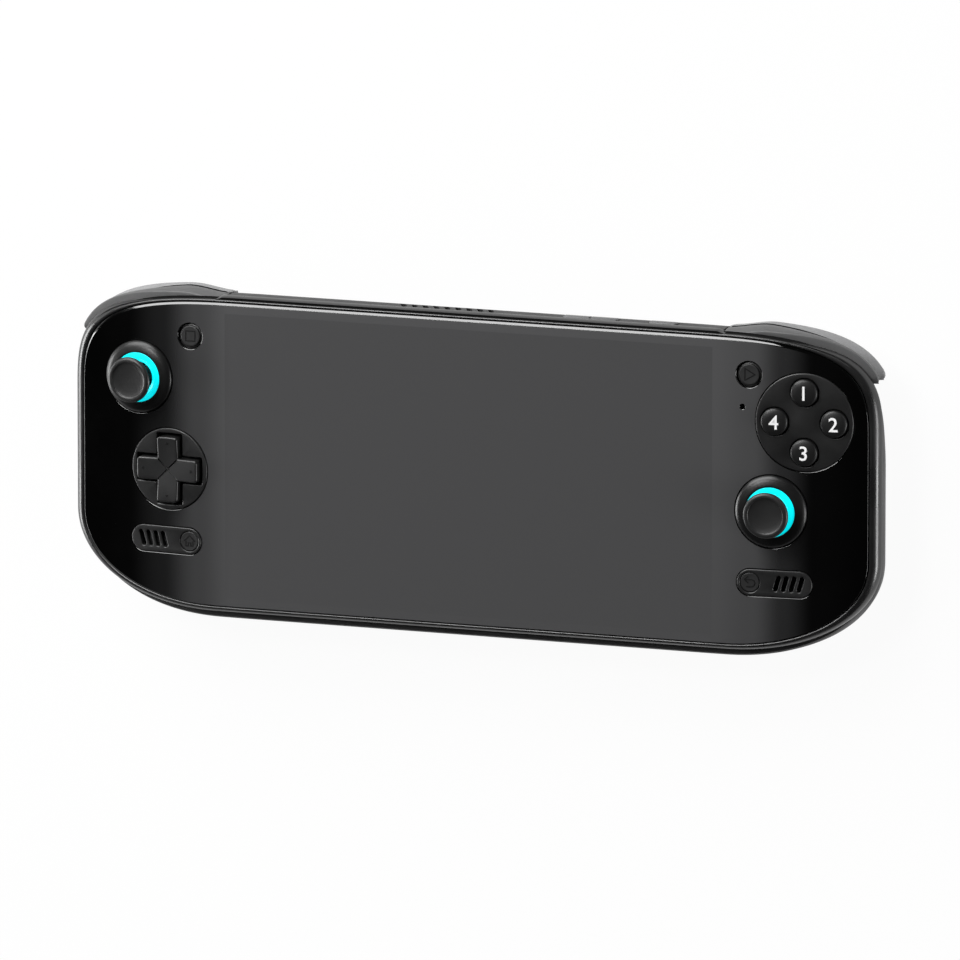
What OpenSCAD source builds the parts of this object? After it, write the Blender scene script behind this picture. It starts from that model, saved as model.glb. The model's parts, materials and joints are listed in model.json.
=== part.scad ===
// Handheld game console lying on its back, in millimetres.
// X runs to the right, Y to the shoulder buttons, Z out of the screen.

/* [Front] */
// Width of the front glass
glass_w = 213.8; // [208:0.2:220]
// Height of the front glass
glass_h = 79.6; // [78.6:0.2:84]
// Thickness of the front glass
glass_t = 1.0; // [0.8:0.1:1.1]
// Height of the glass centre above the middle of the console
glass_y = 0.3; // [0:0.1:0.6]
// Width of each bent end of the front
wing_w = 46.9; // [42:0.1:50]
// Bend radius of both ends of the front
wing_r = 260; // [240:10:500]
// Distance of the display panel from the ends of the glass
panel_side = 39.4; // [39:0.1:46]
// Distance of the display panel from the long edges of the glass
panel_edge = 1.85; // [1.8:0.05:8]
// Thickness of the display panel
panel_t = 1.7; // [1.2:0.1:1.7]

/* [Corners] */
// Length of each upper corner of the glass
top_corner_w = 51.6; // [46:0.2:54]
// Height of each upper corner of the glass
top_corner_h = 26.4; // [24:0.2:28]
// Squareness of the upper corners
top_corner_n = 3.34; // [2.8:0.02:3.6]
// Length of each lower corner of the glass
low_corner_w = 37.5; // [32:0.5:42]
// Height of each lower corner of the glass
low_corner_h = 22.7; // [20:0.1:25]
// Squareness of the lower corners
low_corner_n = 2.09; // [2:0.01:2.6]

/* [Body] */
// Depth from the front glass to the feet of the grips
grip_d = 21; // [19.5:0.5:24]
// Depth from the front glass to the flat back
back_d = 14.5; // [14.5:0.1:15.5]
// Wall of the rear shell
shell_wall = 1.8; // [1.4:0.1:2]
// How far the rear shell sits below the glass
shell_drop = 1.45; // [1.3:0.05:1.5]
// How much the rear shell draws in at both ends, as a share of its growth
shell_side = 0.25; // [0.1:0.01:0.3]
// Height of the frame rim below the glass face
rim_d = 2.9; // [2.8:0.05:3]
// How much the frame rim widens at both ends, as a share of its growth
rim_side = 0.63; // [0.4:0.01:0.7]
// Thickness of the plate behind the display
plate_t = 1.3; // [1:0.1:1.4]
// Distance from the ends of the glass to where the grips begin
grip_inset = 40.9; // [35:0.1:40.9]
// Width of the slope of a grip
grip_slope = 20; // [16:1:24]
// Height where the grips begin to end
grip_top = 6; // [2:1:8]

/* [Sticks] */
// Inset of the upper controls from the end of the glass
upper_inset = 16.25; // [15.9:0.05:18]
// Distance of the upper controls from the top of the glass
upper_drop = 21.05; // [20.6:0.05:23.1]
// Inset of the lower controls from the end of the glass
lower_inset = 24.9; // [24:0.1:25.4]
// Step from the upper to the lower controls, as a share of the glass height
lower_share = 0.2952; // [0.2896:0.0002:0.308]
// Diameter of a stick bezel
bezel_dia = 18.9; // [18.4:0.1:19.4]
// Diameter of a light ring
light_dia = 12.9; // [12.8:0.1:13.6]
// Width of a light ring
light_w = 2.3; // [2:0.05:2.6]
// Diameter of a stick cap
cap_dia = 11.9; // [10:0.1:12.5]
// Height of a stick cap above the front
cap_top = 6.3; // [5.2:0.1:6.5]
// Depth of the stick pivot below the front
pivot_d = 4.5; // [4.3:0.1:4.7]
// Side of a stick housing
stick_box = 12.4; // [12.2:0.1:12.8]

/* [Direction pad] */
// Diameter of the direction pad plate
dpad_dia = 21.3; // [20.8:0.1:22]
// Half length of the cross
cross_half = 8.6; // [8:0.1:8.9]
// Width of an arm of the cross
cross_w = 5.8; // [5:0.1:6.4]
// Height of the cross above the front
cross_top = 1.8; // [1.2:0.1:2.4]

/* [Face buttons] */
// Diameter of the face button plate
face_dia = 25.5; // [25:0.1:26]
// Distance of the face buttons from the edge of their plate
face_edge = 1.5; // [1.35:0.05:1.75]
// Diameter of a face button
face_cap = 7; // [6.4:0.1:7.2]
// Height of a face button above the front
face_top = 1.5; // [1:0.1:2]
// Travel of a face button
face_travel = 1.2; // [0.8:0.1:1.2]

/* [Small controls] */
// Inset of the small round buttons from the end of the glass
small_inset = 30.8; // [30:0.1:31.4]
// Height of the small round buttons over the upper controls
small_up = 11.7; // [10.95:0.05:11.95]
// Diameter of a small round button
small_dia = 5.4; // [5:0.1:5.8]
// Inset of the capsules from the end of the glass
pod_inset = 23.95; // [23:0.05:24.5]
// Step from the lower controls to the capsules, as a share of the glass height
pod_share = 0.2343; // [0.228:0.0003:0.2454]
// Length of a capsule
pod_w = 19.8; // [19.4:0.1:20.4]
// Height of a capsule
pod_h = 6.9; // [6.7:0.1:7.4]
// Diameter of the home and back buttons
home_dia = 5; // [4.6:0.1:5.2]
// Number of slots in a capsule
pod_slots = 4; // [3:1:4]
// Pitch of these slots
slot_pitch = 2.05; // [1.9:0.05:2.2]
// Width of these slots
slot_w = 1.2; // [0.8:0.1:1.2]
// Diameter of the microphone hole
mic_dia = 1.2; // [0.8:0.1:1.4]

/* [Shoulders] */
// Distance from the ends of the glass to the inner ends of the shoulders
shoulder_inset = 39.3; // [37.9:0.1:39.9]
// Height of the shoulders, down from the top of the glass
shoulder_h = 12.9; // [12.1:0.1:14.1]
// Depth of the bumpers
bumper_d = 4.7; // [4.2:0.1:4.9]
// How far the shoulders stand out past the glass
shoulder_out = 2.7; // [2.4:0.02:2.8]
// How far the bumpers swell at their outer ends
shoulder_flare = 2.6; // [1.8:0.1:2.8]
// How far the shoulders sink at their inner ends
shoulder_taper = 1.7; // [1.2:0.1:1.9]
// Depth of the back of the triggers below the front
trigger_back = 16.4; // [16:0.1:17]
// Diameter of the trigger pins
trigger_pin = 1.6; // [1.4:0.1:1.7]

/* [Top keys] */
// Distance of the volume rocker from the end of the glass
volume_inset = 75.8; // [74.9:0.1:76.9]
// Length of the volume rocker
volume_w = 14.8; // [13:0.1:15]
// Distance of the power button from the end of the glass
power_inset = 56.15; // [55.9:0.05:56.9]
// Length of the power button
power_w = 7.5; // [6:0.1:7.8]
// Thickness of both keys
key_t = 2.4; // [2:0.1:2.6]
// How far the keys stand out of the top wall
key_out = 0.4; // [0.2:0.1:0.8]
// Number of vent slots
vent_count = 9; // [6:1:9]
// Pitch of the vent slots
vent_pitch = 2.98; // [2.6:0.02:3]

/* [Inside] */
// Distance of the battery from the grips
battery_side = 8; // [8:1:26]
// Height of the battery
battery_h = 24.5; // [18:0.5:24.5]
// Thickness of the battery
battery_t = 6.8; // [4:0.1:6.8]
// Distance of the fan from the right end of the glass
fan_inset = 115.9; // [115:0.1:117]
// Side of the fan housing
fan_side = 33; // [32.4:0.1:33]
// Diameter of the fan rotor
rotor_dia = 24.6; // [20:0.2:25]
// Number of fan blades
blade_count = 11; // [7:1:13]
// Radial clearance of turning pins
run_gap = 0.05; // [0.03:0.01:0.08]
// Clearance between fixed pieces
seat_gap = 0.1; // [0.08:0.02:0.14]

/* [Hidden] */
$fn = 48;

half_w = glass_w / 2;
half_h = glass_h / 2;
front_z = grip_d;
far = 120;
corner_steps = 11;
ring_count = 4 * (corner_steps + 2);
flat_half = half_w - wing_w;
panel_w = glass_w - 2 * panel_side;
panel_h = glass_h - 2 * panel_edge;
grip_in = half_w - grip_inset;
shoulder_in = half_w - shoulder_inset;
shoulder_low = glass_y + half_h - shoulder_h;
volume_x = half_w - volume_inset;
power_x = half_w - power_inset;
battery_w = 2 * (grip_in - battery_side);
fan_x = half_w - fan_inset;
vent_x = fan_x + 0.5;
face_r = face_dia / 2 - face_cap / 2 - face_edge;
upper_x = half_w - upper_inset;
upper_y = glass_y + half_h - upper_drop;
lower_x = half_w - lower_inset;
lower_y = upper_y - lower_share * glass_h;
small_x = half_w - small_inset;
small_y = upper_y + small_up;
pod_x = half_w - pod_inset;
pod_y = lower_y - pod_share * glass_h;
board_x = (upper_x + lower_x) / 2 - 2;
mic_x = small_x - 1.7;
mic_y = small_y - 8.4;
bond = 0.2;
plate_top = rim_d + 0.2;
plate_low = plate_top + plate_t;
board_d = 5.9;
board_t = 1;
inner_d = back_d - shell_wall;
shell_out = 2.55;
wall_top = glass_y + half_h + shell_out - shell_drop;
wall_low = glass_y - half_h - shell_out - shell_drop;
fan_y = wall_top - 24.55;
usb_board_y = wall_low + 5.5;
usb_board_w = 24;
usb_board_h = 5.4;
battery_low = usb_board_y + usb_board_h + 0.35;
battery_top = battery_low + battery_h;

// Front surface: flat in the middle, bent back at both ends
function past(x) = max(abs(x) - flat_half, 0);
function sag(x) = wing_r - sqrt(wing_r * wing_r - past(x) * past(x));
function tilt(x) = sign(x) * asin(past(x) / wing_r);
function surf_z(x) = front_z - sag(x);
function lerp(a, b, t) = a + (b - a) * t;
function clamp01(t) = min(max(t, 0), 1);
function smooth(a, b, x) = let(t = clamp01((x - a) / (b - a))) t * t * (3 - 2 * t);

// One quarter of the outline, grown by o, at corner angle t
function quarter(o, t, w, h, n) = let(a = max(w + o, 2), b = max(h + o, 1))
  [half_w + o - a + a * pow(max(cos(t), 0), 2 / n),
   half_h + o - b + b * pow(max(sin(t), 0), 2 / n)];
function top_at(o, t) = quarter(o, t, top_corner_w, top_corner_h, top_corner_n);
function low_at(o, t) = quarter(o, t, low_corner_w, low_corner_h, low_corner_n);
side_bulge = 0.12;
function side_y(o, h) = (half_h + o - max(h + o, 1)) / 3;
function arc_at(o, j, top, steps) =
  j == 0 ? [half_w + o + side_bulge, side_y(o, top ? top_corner_h : low_corner_h)]
         : top ? top_at(o, 90 * (j - 1) / steps) : low_at(o, 90 * (j - 1) / steps);

// Point i of the outline, grown by o and shifted by y, and the whole outline
function quarter_of(i, steps) = floor(i / (steps + 2));
function step_of(i, steps) = let(m = steps + 2, q = quarter_of(i, steps))
  q % 2 == 0 ? i % m : m - 1 - i % m;
function outline_at(o, y, i, steps) =
  let(q = quarter_of(i, steps), p = arc_at(o, step_of(i, steps), q < 2, steps))
  [(q == 0 || q == 3 ? 1 : -1) * p[0], glass_y + y + (q < 2 ? 1 : -1) * p[1]];
function outline(o, y = 0, steps = corner_steps) =
  [for (i = [0 : 4 * steps + 7]) outline_at(o, y, i, steps)];
function widen(q, o, share) = [q[0] * (1 + share * max(o, 0) / half_w), q[1]];

// Faces between the rings of a loft, each ring with n points, the same on both sides
function left_edge(i, n) = i >= n / 4 && i < 3 * n / 4;
function side_faces(rings, n, closed) = [
  for (j = [0 : rings - (closed ? 1 : 2)], i = [0 : n - 1])
  let(k = (j + 1) % rings, m = (i + 1) % n, a = j * n + i, b = j * n + m, c = k * n + m,
      d = k * n + i)
  each (left_edge(i, n) ? [[a, b, d], [b, c, d]] : [[a, b, c], [a, c, d]])];

// Frame on the front surface at x, y
module on_front(x, y) {
  translate([x, y, surf_z(x)])
    rotate([0, tilt(x), 0])
      children();
}

// The children on the right side, or mirrored to the left
module sided(side) {
  if (side < 0) mirror([1, 0, 0]) children();
  else children();
}

// Slab that follows the front surface between two depths
slab_steps = 10;
slab_end = half_w + 4;
slab_x = concat(
  [for (i = [slab_steps : -1 : 0]) -lerp(flat_half, slab_end, i / slab_steps)],
  [for (i = [0 : slab_steps]) lerp(flat_half, slab_end, i / slab_steps)]);
module wing_slab(d0, d1) {
  n = len(slab_x);
  rotate([90, 0, 0])
    linear_extrude(height = far, center = true)
      polygon(concat(
        [for (x = slab_x) [x, surf_z(x) - d1]],
        [for (i = [n - 1 : -1 : 0]) [slab_x[i], surf_z(slab_x[i]) - d0]]));
}

// Rim around the glass: its profile of [grow, depth, shift], slim where the shoulders pass
rim_steps = 15;
rim_count = 4 * (rim_steps + 2);
slim_drop = 1.25;
slim_ledge = 0.5;
slim_low = 15;
slim_high = 87;
function rim_share(i) = let(t = 90 * (step_of(i, rim_steps) - 1) / rim_steps)
  quarter_of(i, rim_steps) < 2 && t > slim_low && t < slim_high ? 0 : 1;
function rim_profile(f) =
  let(low = lerp(rim_d + 0.06, plate_low, f), top = lerp(rim_d + 0.03, plate_top, f),
      ledge = ledge_in - lerp(slim_ledge, 0, f), inner = lerp(ledge_in - slim_ledge - 0.1, rim_in, f),
      drop = lerp(slim_drop, shell_drop, f))
  [[0.15, ledge_d, 0], [0.15, 0.4, 0], [0.6, 0.25, 0], [1.2, 0.7, 0], [1.65, 1.6, 0],
   [1.75, rim_d, 0], [-0.35, rim_d, -drop], [-0.35, low, -drop],
   [inner, low, 0], [inner, top, 0], [ledge, top, 0], [ledge, ledge_d, 0]];
module rim_loft() {
  n = len(rim_profile(0));
  polyhedron(
    points = [for (j = [0 : n - 1], i = [0 : rim_count - 1])
      let(p = rim_profile(rim_share(i))[j],
          q = widen(outline_at(p[0], p[2], i, rim_steps), p[0], rim_side))
      [q[0], q[1], surf_z(q[0]) - p[1]]],
    faces = side_faces(n, rim_count, true));
}

// Bar along the upper right corner, profile of [grow, depth share, flare share]
bar_steps = 24;
flare_len = 32;
taper_len = 11;
function swell(t, share) = let(x = top_at(0, t)[0])
  share * shoulder_flare * smooth(half_w - 3 - flare_len, half_w - 3, x)
  - shoulder_taper * (1 - smooth(shoulder_in, shoulder_in + taper_len, x));
function bar_grow(p, t) = p[0] + (p[2] > 0 ? swell(t, p[2]) : 0);
function bar_t(i) = lerp(bar_t0, bar_t1, i / bar_steps);
module corner_bar(profile, front_d, flat_back) {
  n = len(profile);
  points = [for (i = [0 : bar_steps], p = profile)
    let(q = top_at(bar_grow(p, bar_t(i)), bar_t(i)))
    [q[0], glass_y + q[1],
      flat_back > 0 ? lerp(surf_z(q[0]) - front_d, front_z - flat_back, p[1])
                    : surf_z(q[0]) - front_d - p[1]]];
  sides = [for (i = [0 : bar_steps - 1], j = [0 : n - 1])
    let(k = (j + 1) % n)
    each [[i * n + j, (i + 1) * n + j, (i + 1) * n + k],
          [i * n + j, (i + 1) * n + k, i * n + k]]];
  ends = [[for (j = [0 : n - 1]) j], [for (j = [n - 1 : -1 : 0]) bar_steps * n + j]];
  polyhedron(points = points, faces = concat(sides, ends));
}

// Plate with round ends
module stadium(w, h, t) {
  translate([0, 0, t / 2]) cube([w - h, h, t], center = true);
  for (s = [-1, 1]) translate([s * (w - h) / 2, 0, 0]) cylinder(d = h, h = t);
}

// Openings of the front
opening_gap = 0.2;
face_hole = face_dia + opening_gap;
dpad_hole = dpad_dia + opening_gap;
bezel_hole = bezel_dia + opening_gap;
small_hole = small_dia + 1.4;
module front_openings() {
  cut = 6;
  for (p = [[-upper_x, upper_y, bezel_hole], [lower_x, lower_y, bezel_hole],
            [-lower_x, lower_y, dpad_hole], [upper_x, upper_y, face_hole],
            [-small_x, small_y, small_hole], [small_x, small_y, small_hole],
            [mic_x, mic_y, mic_dia]])
    on_front(p[0], p[1]) cylinder(d = p[2], h = cut, center = true);
  for (s = [-1, 1])
    on_front(s * pod_x, pod_y)
      translate([0, 0, -cut / 2])
        stadium(pod_w + opening_gap, pod_h + opening_gap, cut);
}

module front_glass() {
  color([0.09, 0.09, 0.1])
    difference() {
      intersection() {
        wing_slab(0, glass_t);
        linear_extrude(height = front_z + 5) polygon(outline(0));
      }
      front_openings();
    }
}

module display_panel() {
  color([0.2, 0.2, 0.21])
    translate([0, 0, front_z - glass_t - bond - panel_t / 2])
      cube([panel_w, panel_h, panel_t], center = true);
}

// Screws of the rear shell
screw_x = grip_in - 3;
screw_ys = [half_h - 10.2, 0, 7 - half_h];
screw_r = 0.85;
boss_r = 2.4;
head_r = 1.9;
head_t = 0.9;
module at_screws() {
  for (s = [-1, 1], y = screw_ys) translate([s * screw_x, y, 0]) children();
}

// Places of the board supports
main_left = fan_x - 21;
main_right = grip_in - 8;
main_low = battery_top + 1.5;
main_high = wall_top - 9.05;
post_edge = 4;
board_posts = [for (x = [main_left + post_edge, main_right - post_edge],
                    y = [main_high - post_edge, main_low + post_edge]) [x, y]];
post_r = 1.8;
main_d = plate_low + 1;
rim_in = -3.2;
plate_step = 0.1;
ledge_in = -1.2;
ledge_d = glass_t + 0.05;
skirt_w = 0.65;
through = 14;
module mid_frame() {
  color([0.16, 0.16, 0.17])
    difference() {
      union() {
        rim_loft();
        difference() {
          intersection() {
            wing_slab(plate_top + plate_step, plate_low - plate_step);
            linear_extrude(height = front_z) polygon(outline(rim_in + 1.2));
          }
          for (s = [-1, 1])
            sided(s)
              linear_extrude(height = front_z)
                polygon(shoulder_zone);
        }
        at_screws()
          translate([0, 0, front_z - inner_d + seat_gap])
            cylinder(r = boss_r, h = inner_d - seat_gap - plate_top - 0.5);
        for (p = board_posts)
          translate([p[0], p[1], front_z - main_d])
            cylinder(r = post_r, h = main_d - plate_top - 0.5);
      }
      at_screws()
        translate([0, 0, front_z - inner_d - 1])
          cylinder(r = screw_r, h = 8);
      for (p = [[-upper_x, upper_y], [lower_x, lower_y]])
        on_front(p[0], p[1])
          translate([0, 0, -plate_low])
            cube([stick_box + 0.4, stick_box + 0.4, 2 * plate_t + 2], center = true);
      on_front(-lower_x, lower_y)
        cylinder(d = dpad_dia - 2 * skirt_w - 0.2, h = through, center = true);
      on_front(upper_x, upper_y)
        cylinder(d = face_dia - 2 * skirt_w - 0.2, h = through, center = true);
      for (s = [-1, 1]) {
        on_front(s * small_x, small_y) cylinder(r = stem_r + 0.4, h = through, center = true);
        on_front(s * pod_x, pod_y) {
          translate([-s * home_in, 0, 0]) cylinder(r = stem_r + 0.4, h = through, center = true);
          translate([s * slot_mid, 0, -plate_low]) cube([9, 5.2, 6], center = true);
        }
      }
      on_front(mic_x, mic_y) cylinder(d = mic_dia, h = through, center = true);
    }
}

// Rear shell: rings from the rim to the middle of the back
shell_grow = [1.75, 2.25, shell_out, 1.3, -1.2, -4.2, -8, -12, -19, -27, -34];
flat_rise = [0, 0, 4.9, 2.5, 0.8, 0.1, 0, 0, 0, 0, 0];
grip_rise = [0, 0, 10, 5.5, 2.2, 0.2, -0.6, -0.9, -0.9, -0.9, -0.9];
shell_rings = len(shell_grow);
grip_end = grip_top + 24;
function grip_at(x, y) =
  smooth(grip_in, grip_in + grip_slope, abs(x)) * (1 - smooth(grip_top, grip_end, y));
function shell_depth(k, x, y) =
  k < 2 ? sag(x) + rim_d + 0.1 + 1.5 * k
        : lerp(back_d - flat_rise[k], grip_d - grip_rise[k], grip_at(x, y));
function shell_ring(k, inset) = [
  for (p = outline(shell_grow[k] - inset, -shell_drop))
  let(q = widen(p, shell_grow[k] - inset, -shell_side), d = shell_depth(k, q[0], q[1]))
  [q[0], q[1], front_z - (k < 2 ? d : min(d, grip_d + (inset > 0 ? 0 : 2)) - inset)]];
module shell_tub() {
  half = ring_count / 2 - 1;
  last = (2 * shell_rings - 1) * ring_count;
  points = concat(
    [for (k = [shell_rings - 1 : -1 : 0]) each shell_ring(k, shell_wall)],
    [for (k = [0 : shell_rings - 1]) each shell_ring(k, 0)]);
  floor_faces = [for (i = [0 : half - 1])
    let(a = i, b = i + 1, c = ring_count - 2 - i, d = ring_count - 1 - i)
    each [[a, c, b], [a, d, c]]];
  back_faces = [for (i = [0 : half - 1])
    let(a = last + i, b = a + 1, c = last + ring_count - 2 - i, d = c + 1)
    each [[a, b, c], [a, c, d]]];
  polyhedron(points = points,
    faces = concat(side_faces(2 * shell_rings, ring_count, false), floor_faces, back_faces));
}

// Shoulder: chord of the upper right corner, its frame and its cut
function t_at_x(o, x) =
  acos(pow((x - half_w + top_corner_w) / (top_corner_w + o), top_corner_n / 2));
function t_at_y(o, y) =
  asin(pow((y - glass_y - half_h + top_corner_h) / (top_corner_h + o), top_corner_n / 2));
chord_o = -1;
chord_a = top_at(chord_o, t_at_x(chord_o, shoulder_in));
chord_b = top_at(chord_o, t_at_y(chord_o, shoulder_low));
chord_len = norm(chord_b - chord_a);
chord_turn = atan2(chord_b[1] - chord_a[1], chord_b[0] - chord_a[0]);
bar_t0 = t_at_y(chord_o, shoulder_low) - 6;
bar_t1 = min(t_at_x(chord_o, shoulder_in) + 3, 89);
shoulder_zone = concat(
  [for (i = [0 : bar_steps]) let(q = top_at(-4.7, bar_t(i))) [q[0], glass_y + q[1]]],
  [for (i = [bar_steps : -1 : 0]) let(q = top_at(6, bar_t(i))) [q[0], glass_y + q[1]]]);
end_gap = 1.8;
side_gap = 0.35;
bulk_h = -2.5;
bulk_t = 1.2;
bulk_top = 10.8;
pin_h = -0.2;
pin_d = 11.6;
trigger_r = trigger_pin / 2;
module chord_frame() {
  translate([chord_a[0], glass_y + chord_a[1], 0])
    rotate([0, 0, chord_turn])
      children();
}

// Room of a shoulder, shortened at the inner and the outer end
module shoulder_room(inner, outer, low_h) {
  intersection() {
    chord_frame() translate([-20, low_h, -10]) cube([chord_len + 60, 60, 60]);
    translate([shoulder_in + inner, shoulder_low + outer, -10]) cube([far, far, 60]);
  }
}

// Walls of the shell behind a shoulder
module shoulder_walls() {
  top_z = front_z - bulk_top;
  low_z = front_z - inner_d - 0.6;
  wall_y = glass_y + chord_a[1];
  intersection() {
    chord_frame() translate([-8, bulk_h - bulk_t, low_z])
      cube([chord_len + 16, bulk_t, top_z - low_z]);
    translate([shoulder_in - bulk_t, shoulder_low - bulk_t, 0])
      cube([chord_b[0] - shoulder_in - 2, far, 60]);
  }
  translate([shoulder_in - bulk_t, wall_y + bulk_h - 2, low_z])
    cube([bulk_t, wall_top - wall_y - bulk_h - 1.5, top_z - low_z]);
  translate([chord_b[0] - 10, shoulder_low - bulk_t, low_z])
    cube([9.7, bulk_t, top_z - low_z]);
}

// Blocks that hold the trigger pin
block_w = 2.5;
block_at = [3.5, chord_len - 12];
module pin_blocks() {
  chord_frame()
    for (s = block_at)
      translate([s, bulk_h - 0.4, front_z - pin_d - 1.5])
        cube([block_w, pin_h - bulk_h + 1.7, 3]);
}
module pin_bore(r) {
  chord_frame()
    translate([block_at[0] - 0.5, pin_h, front_z - pin_d])
      rotate([0, 90, 0])
        cylinder(r = r, h = block_at[1] - block_at[0] + block_w + 1);
}

// Row of vent slots in the top wall
vent_d = 8.3;
vent_slant = 28;
vent_w = 1.3;
vent_len = 4.4;
module vent_slots() {
  for (i = [0 : vent_count - 1])
    translate([vent_x + (i - (vent_count - 1) / 2) * vent_pitch, wall_top, front_z - vent_d])
      rotate([0, vent_slant, 0])
        cube([vent_w, 8, vent_len], center = true);
}

key_d = 7.1;
key_gap = 0.25;
usb_d = 8.8;
usb_w = 8.94;
usb_h = 3.2;
usb_post_x = 9;
usb_post_y = usb_board_y + 1.7;
intake_count = 7;
intake_len = 18;
module rear_shell() {
  color([0.13, 0.13, 0.14])
    difference() {
      union() {
        difference() {
          shell_tub();
          for (s = [-1, 1]) sided(s) shoulder_room(0, 0, bulk_h);
        }
        for (s = [-1, 1]) sided(s) {
          shoulder_walls();
          pin_blocks();
        }
        for (s = [-1, 1])
          translate([s * usb_post_x, usb_post_y, front_z - inner_d - 0.5])
            cylinder(r = 1.5, h = inner_d + 0.5 - usb_board_d - board_t);
      }
      translate([-far, -far, -20]) cube([2 * far, 2 * far, 20]);
      for (s = [-1, 1]) sided(s) pin_bore(trigger_r + 0.02);
      vent_slots();
      translate([volume_x, wall_top, front_z - key_d])
        cube([volume_w + 2 * key_gap, 8, key_t + 2 * key_gap], center = true);
      translate([power_x, wall_top, front_z - key_d])
        cube([power_w + 2 * key_gap, 8, key_t + 2 * key_gap], center = true);
      translate([0, wall_low + 4, front_z - usb_d])
        rotate([90, 0, 0])
          translate([0, 0, -1])
            stadium(usb_w + 0.4, usb_h + 0.4, 8);
      at_screws() {
        translate([0, 0, front_z - back_d - 1]) cylinder(r = screw_r + 0.2, h = 6);
        translate([0, 0, front_z - back_d - 1]) cylinder(r = head_r + 0.15, h = head_t + 1.1);
      }
      for (i = [0 : intake_count - 1])
        translate([fan_x + (i - (intake_count - 1) / 2) * 2.8, fan_y, front_z - back_d])
          cube([1.4, intake_len, 8], center = true);
    }
}

module rear_screws() {
  color([0.3, 0.3, 0.32])
    at_screws()
      difference() {
        union() {
          translate([0, 0, front_z - back_d + 0.1]) cylinder(r = head_r, h = head_t);
          translate([0, 0, front_z - back_d + 0.1]) cylinder(r = screw_r - 0.03, h = 7.4);
        }
        translate([0, 0, front_z - back_d])
          for (a = [0, 90]) rotate([0, 0, a]) cube([2.2, 0.5, 1.1], center = true);
      }
}

// Thumb stick, about the front surface
box_half = stick_box / 2;
box_wall = 0.9;
box_low = -9.2;
box_top = -plate_top - 0.1;
yoke_r = 4.5;
yoke_in = 2.9;
trunnion_r = 0.8;
cross_pin_r = 0.7;
neck_r = 1.6;
stem_top = cap_top - 2;
light_top = 1.25;
light_t = 0.85;
bezel_r = bezel_dia / 2;
light_r = light_dia / 2;
module bezel_shape() {
  rotate_extrude()
    polygon([[light_r - 0.7, -plate_top + 0.05], [bezel_r, -plate_top + 0.05], [bezel_r, 0],
      [bezel_r - 0.45, 0.55], [bezel_r - 1.35, 1.1], [light_r + 0.4, 1.4],
      [light_r + 0.05, 1.4], [light_r + 0.05, light_top - light_t - 0.05],
      [light_r - 0.7, light_top - light_t - 0.05]]);
}
module light_shape() {
  rotate_extrude()
    polygon([[light_r - light_w, light_top - light_t], [light_r, light_top - light_t],
      [light_r, light_top - 0.1], [light_r - 0.15, light_top],
      [light_r - light_w + 0.9, light_top], [light_r - light_w, light_top - 0.55]]);
}
module base_shape() {
  inner = stick_box - 2 * box_wall;
  difference() {
    union() {
      translate([-box_half, -box_half, box_low]) cube([stick_box, stick_box, box_top - box_low]);
      translate([-box_half - 1.8, -box_half, -plate_low - seat_gap - 1])
        cube([stick_box + 3.6, stick_box, 1]);
    }
    translate([-inner / 2, -inner / 2, box_low + box_wall])
      cube([inner, inner, box_top - box_low]);
    translate([0, 0, -pivot_d])
      rotate([0, 90, 0])
        cylinder(r = trunnion_r + run_gap, h = 2 * stick_box, center = true);
  }
}
module yoke_shape() {
  translate([0, 0, -pivot_d]) {
    difference() {
      rotate_extrude()
        translate([yoke_in, -1.1]) square([yoke_r - yoke_in, 2.2]);
      rotate([90, 0, 0])
        cylinder(r = cross_pin_r + run_gap, h = 4 * yoke_r, center = true);
    }
    for (s = [-1, 1])
      translate([s * (yoke_r - 0.4), 0, 0])
        rotate([0, s * 90, 0])
          cylinder(r = trunnion_r, h = box_half - yoke_r + 0.3);
  }
}
module shaft_shape() {
  translate([0, 0, -pivot_d]) {
    sphere(r = 2.2);
    rotate([90, 0, 0]) cylinder(r = cross_pin_r, h = 2 * yoke_r - 0.2, center = true);
    cylinder(r = neck_r, h = pivot_d + stem_top);
  }
}
module cap_shape() {
  r = cap_dia / 2;
  top = cap_top;
  bore = neck_r + run_gap;
  rotate_extrude()
    polygon([[0, top - 0.55], [r - 2.2, top - 0.4], [r - 1.1, top - 0.05], [r - 0.7, top],
      [r - 0.2, top - 0.3], [r, top - 0.8], [r - 0.35, top - 1.35], [r - 2.2, top - 2.1],
      [2.5, top - 2.5], [2.45, top - 2.9], [bore, top - 2.9], [bore, top - 1.4],
      [0, top - 1.4]]);
}
module at_left_stick() { on_front(-upper_x, upper_y) children(); }
module at_right_stick() { on_front(lower_x, lower_y) children(); }
module left_stick_bezel() { color([0.2, 0.2, 0.22]) at_left_stick() bezel_shape(); }
module left_stick_ring() { color([0.3, 0.9, 0.95]) at_left_stick() light_shape(); }
module left_stick_base() { color([0.4, 0.4, 0.42]) at_left_stick() base_shape(); }
module left_stick_yoke() { color([0.75, 0.75, 0.78]) at_left_stick() yoke_shape(); }
module left_stick_shaft() { color([0.6, 0.6, 0.62]) at_left_stick() shaft_shape(); }
module left_stick_cap() { color([0.15, 0.15, 0.16]) at_left_stick() cap_shape(); }
module right_stick_bezel() { color([0.2, 0.2, 0.22]) at_right_stick() bezel_shape(); }
module right_stick_ring() { color([0.3, 0.9, 0.95]) at_right_stick() light_shape(); }
module right_stick_base() { color([0.4, 0.4, 0.42]) at_right_stick() base_shape(); }
module right_stick_yoke() { color([0.75, 0.75, 0.78]) at_right_stick() yoke_shape(); }
module right_stick_shaft() { color([0.6, 0.6, 0.62]) at_right_stick() shaft_shape(); }
module right_stick_cap() { color([0.15, 0.15, 0.16]) at_right_stick() cap_shape(); }

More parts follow.
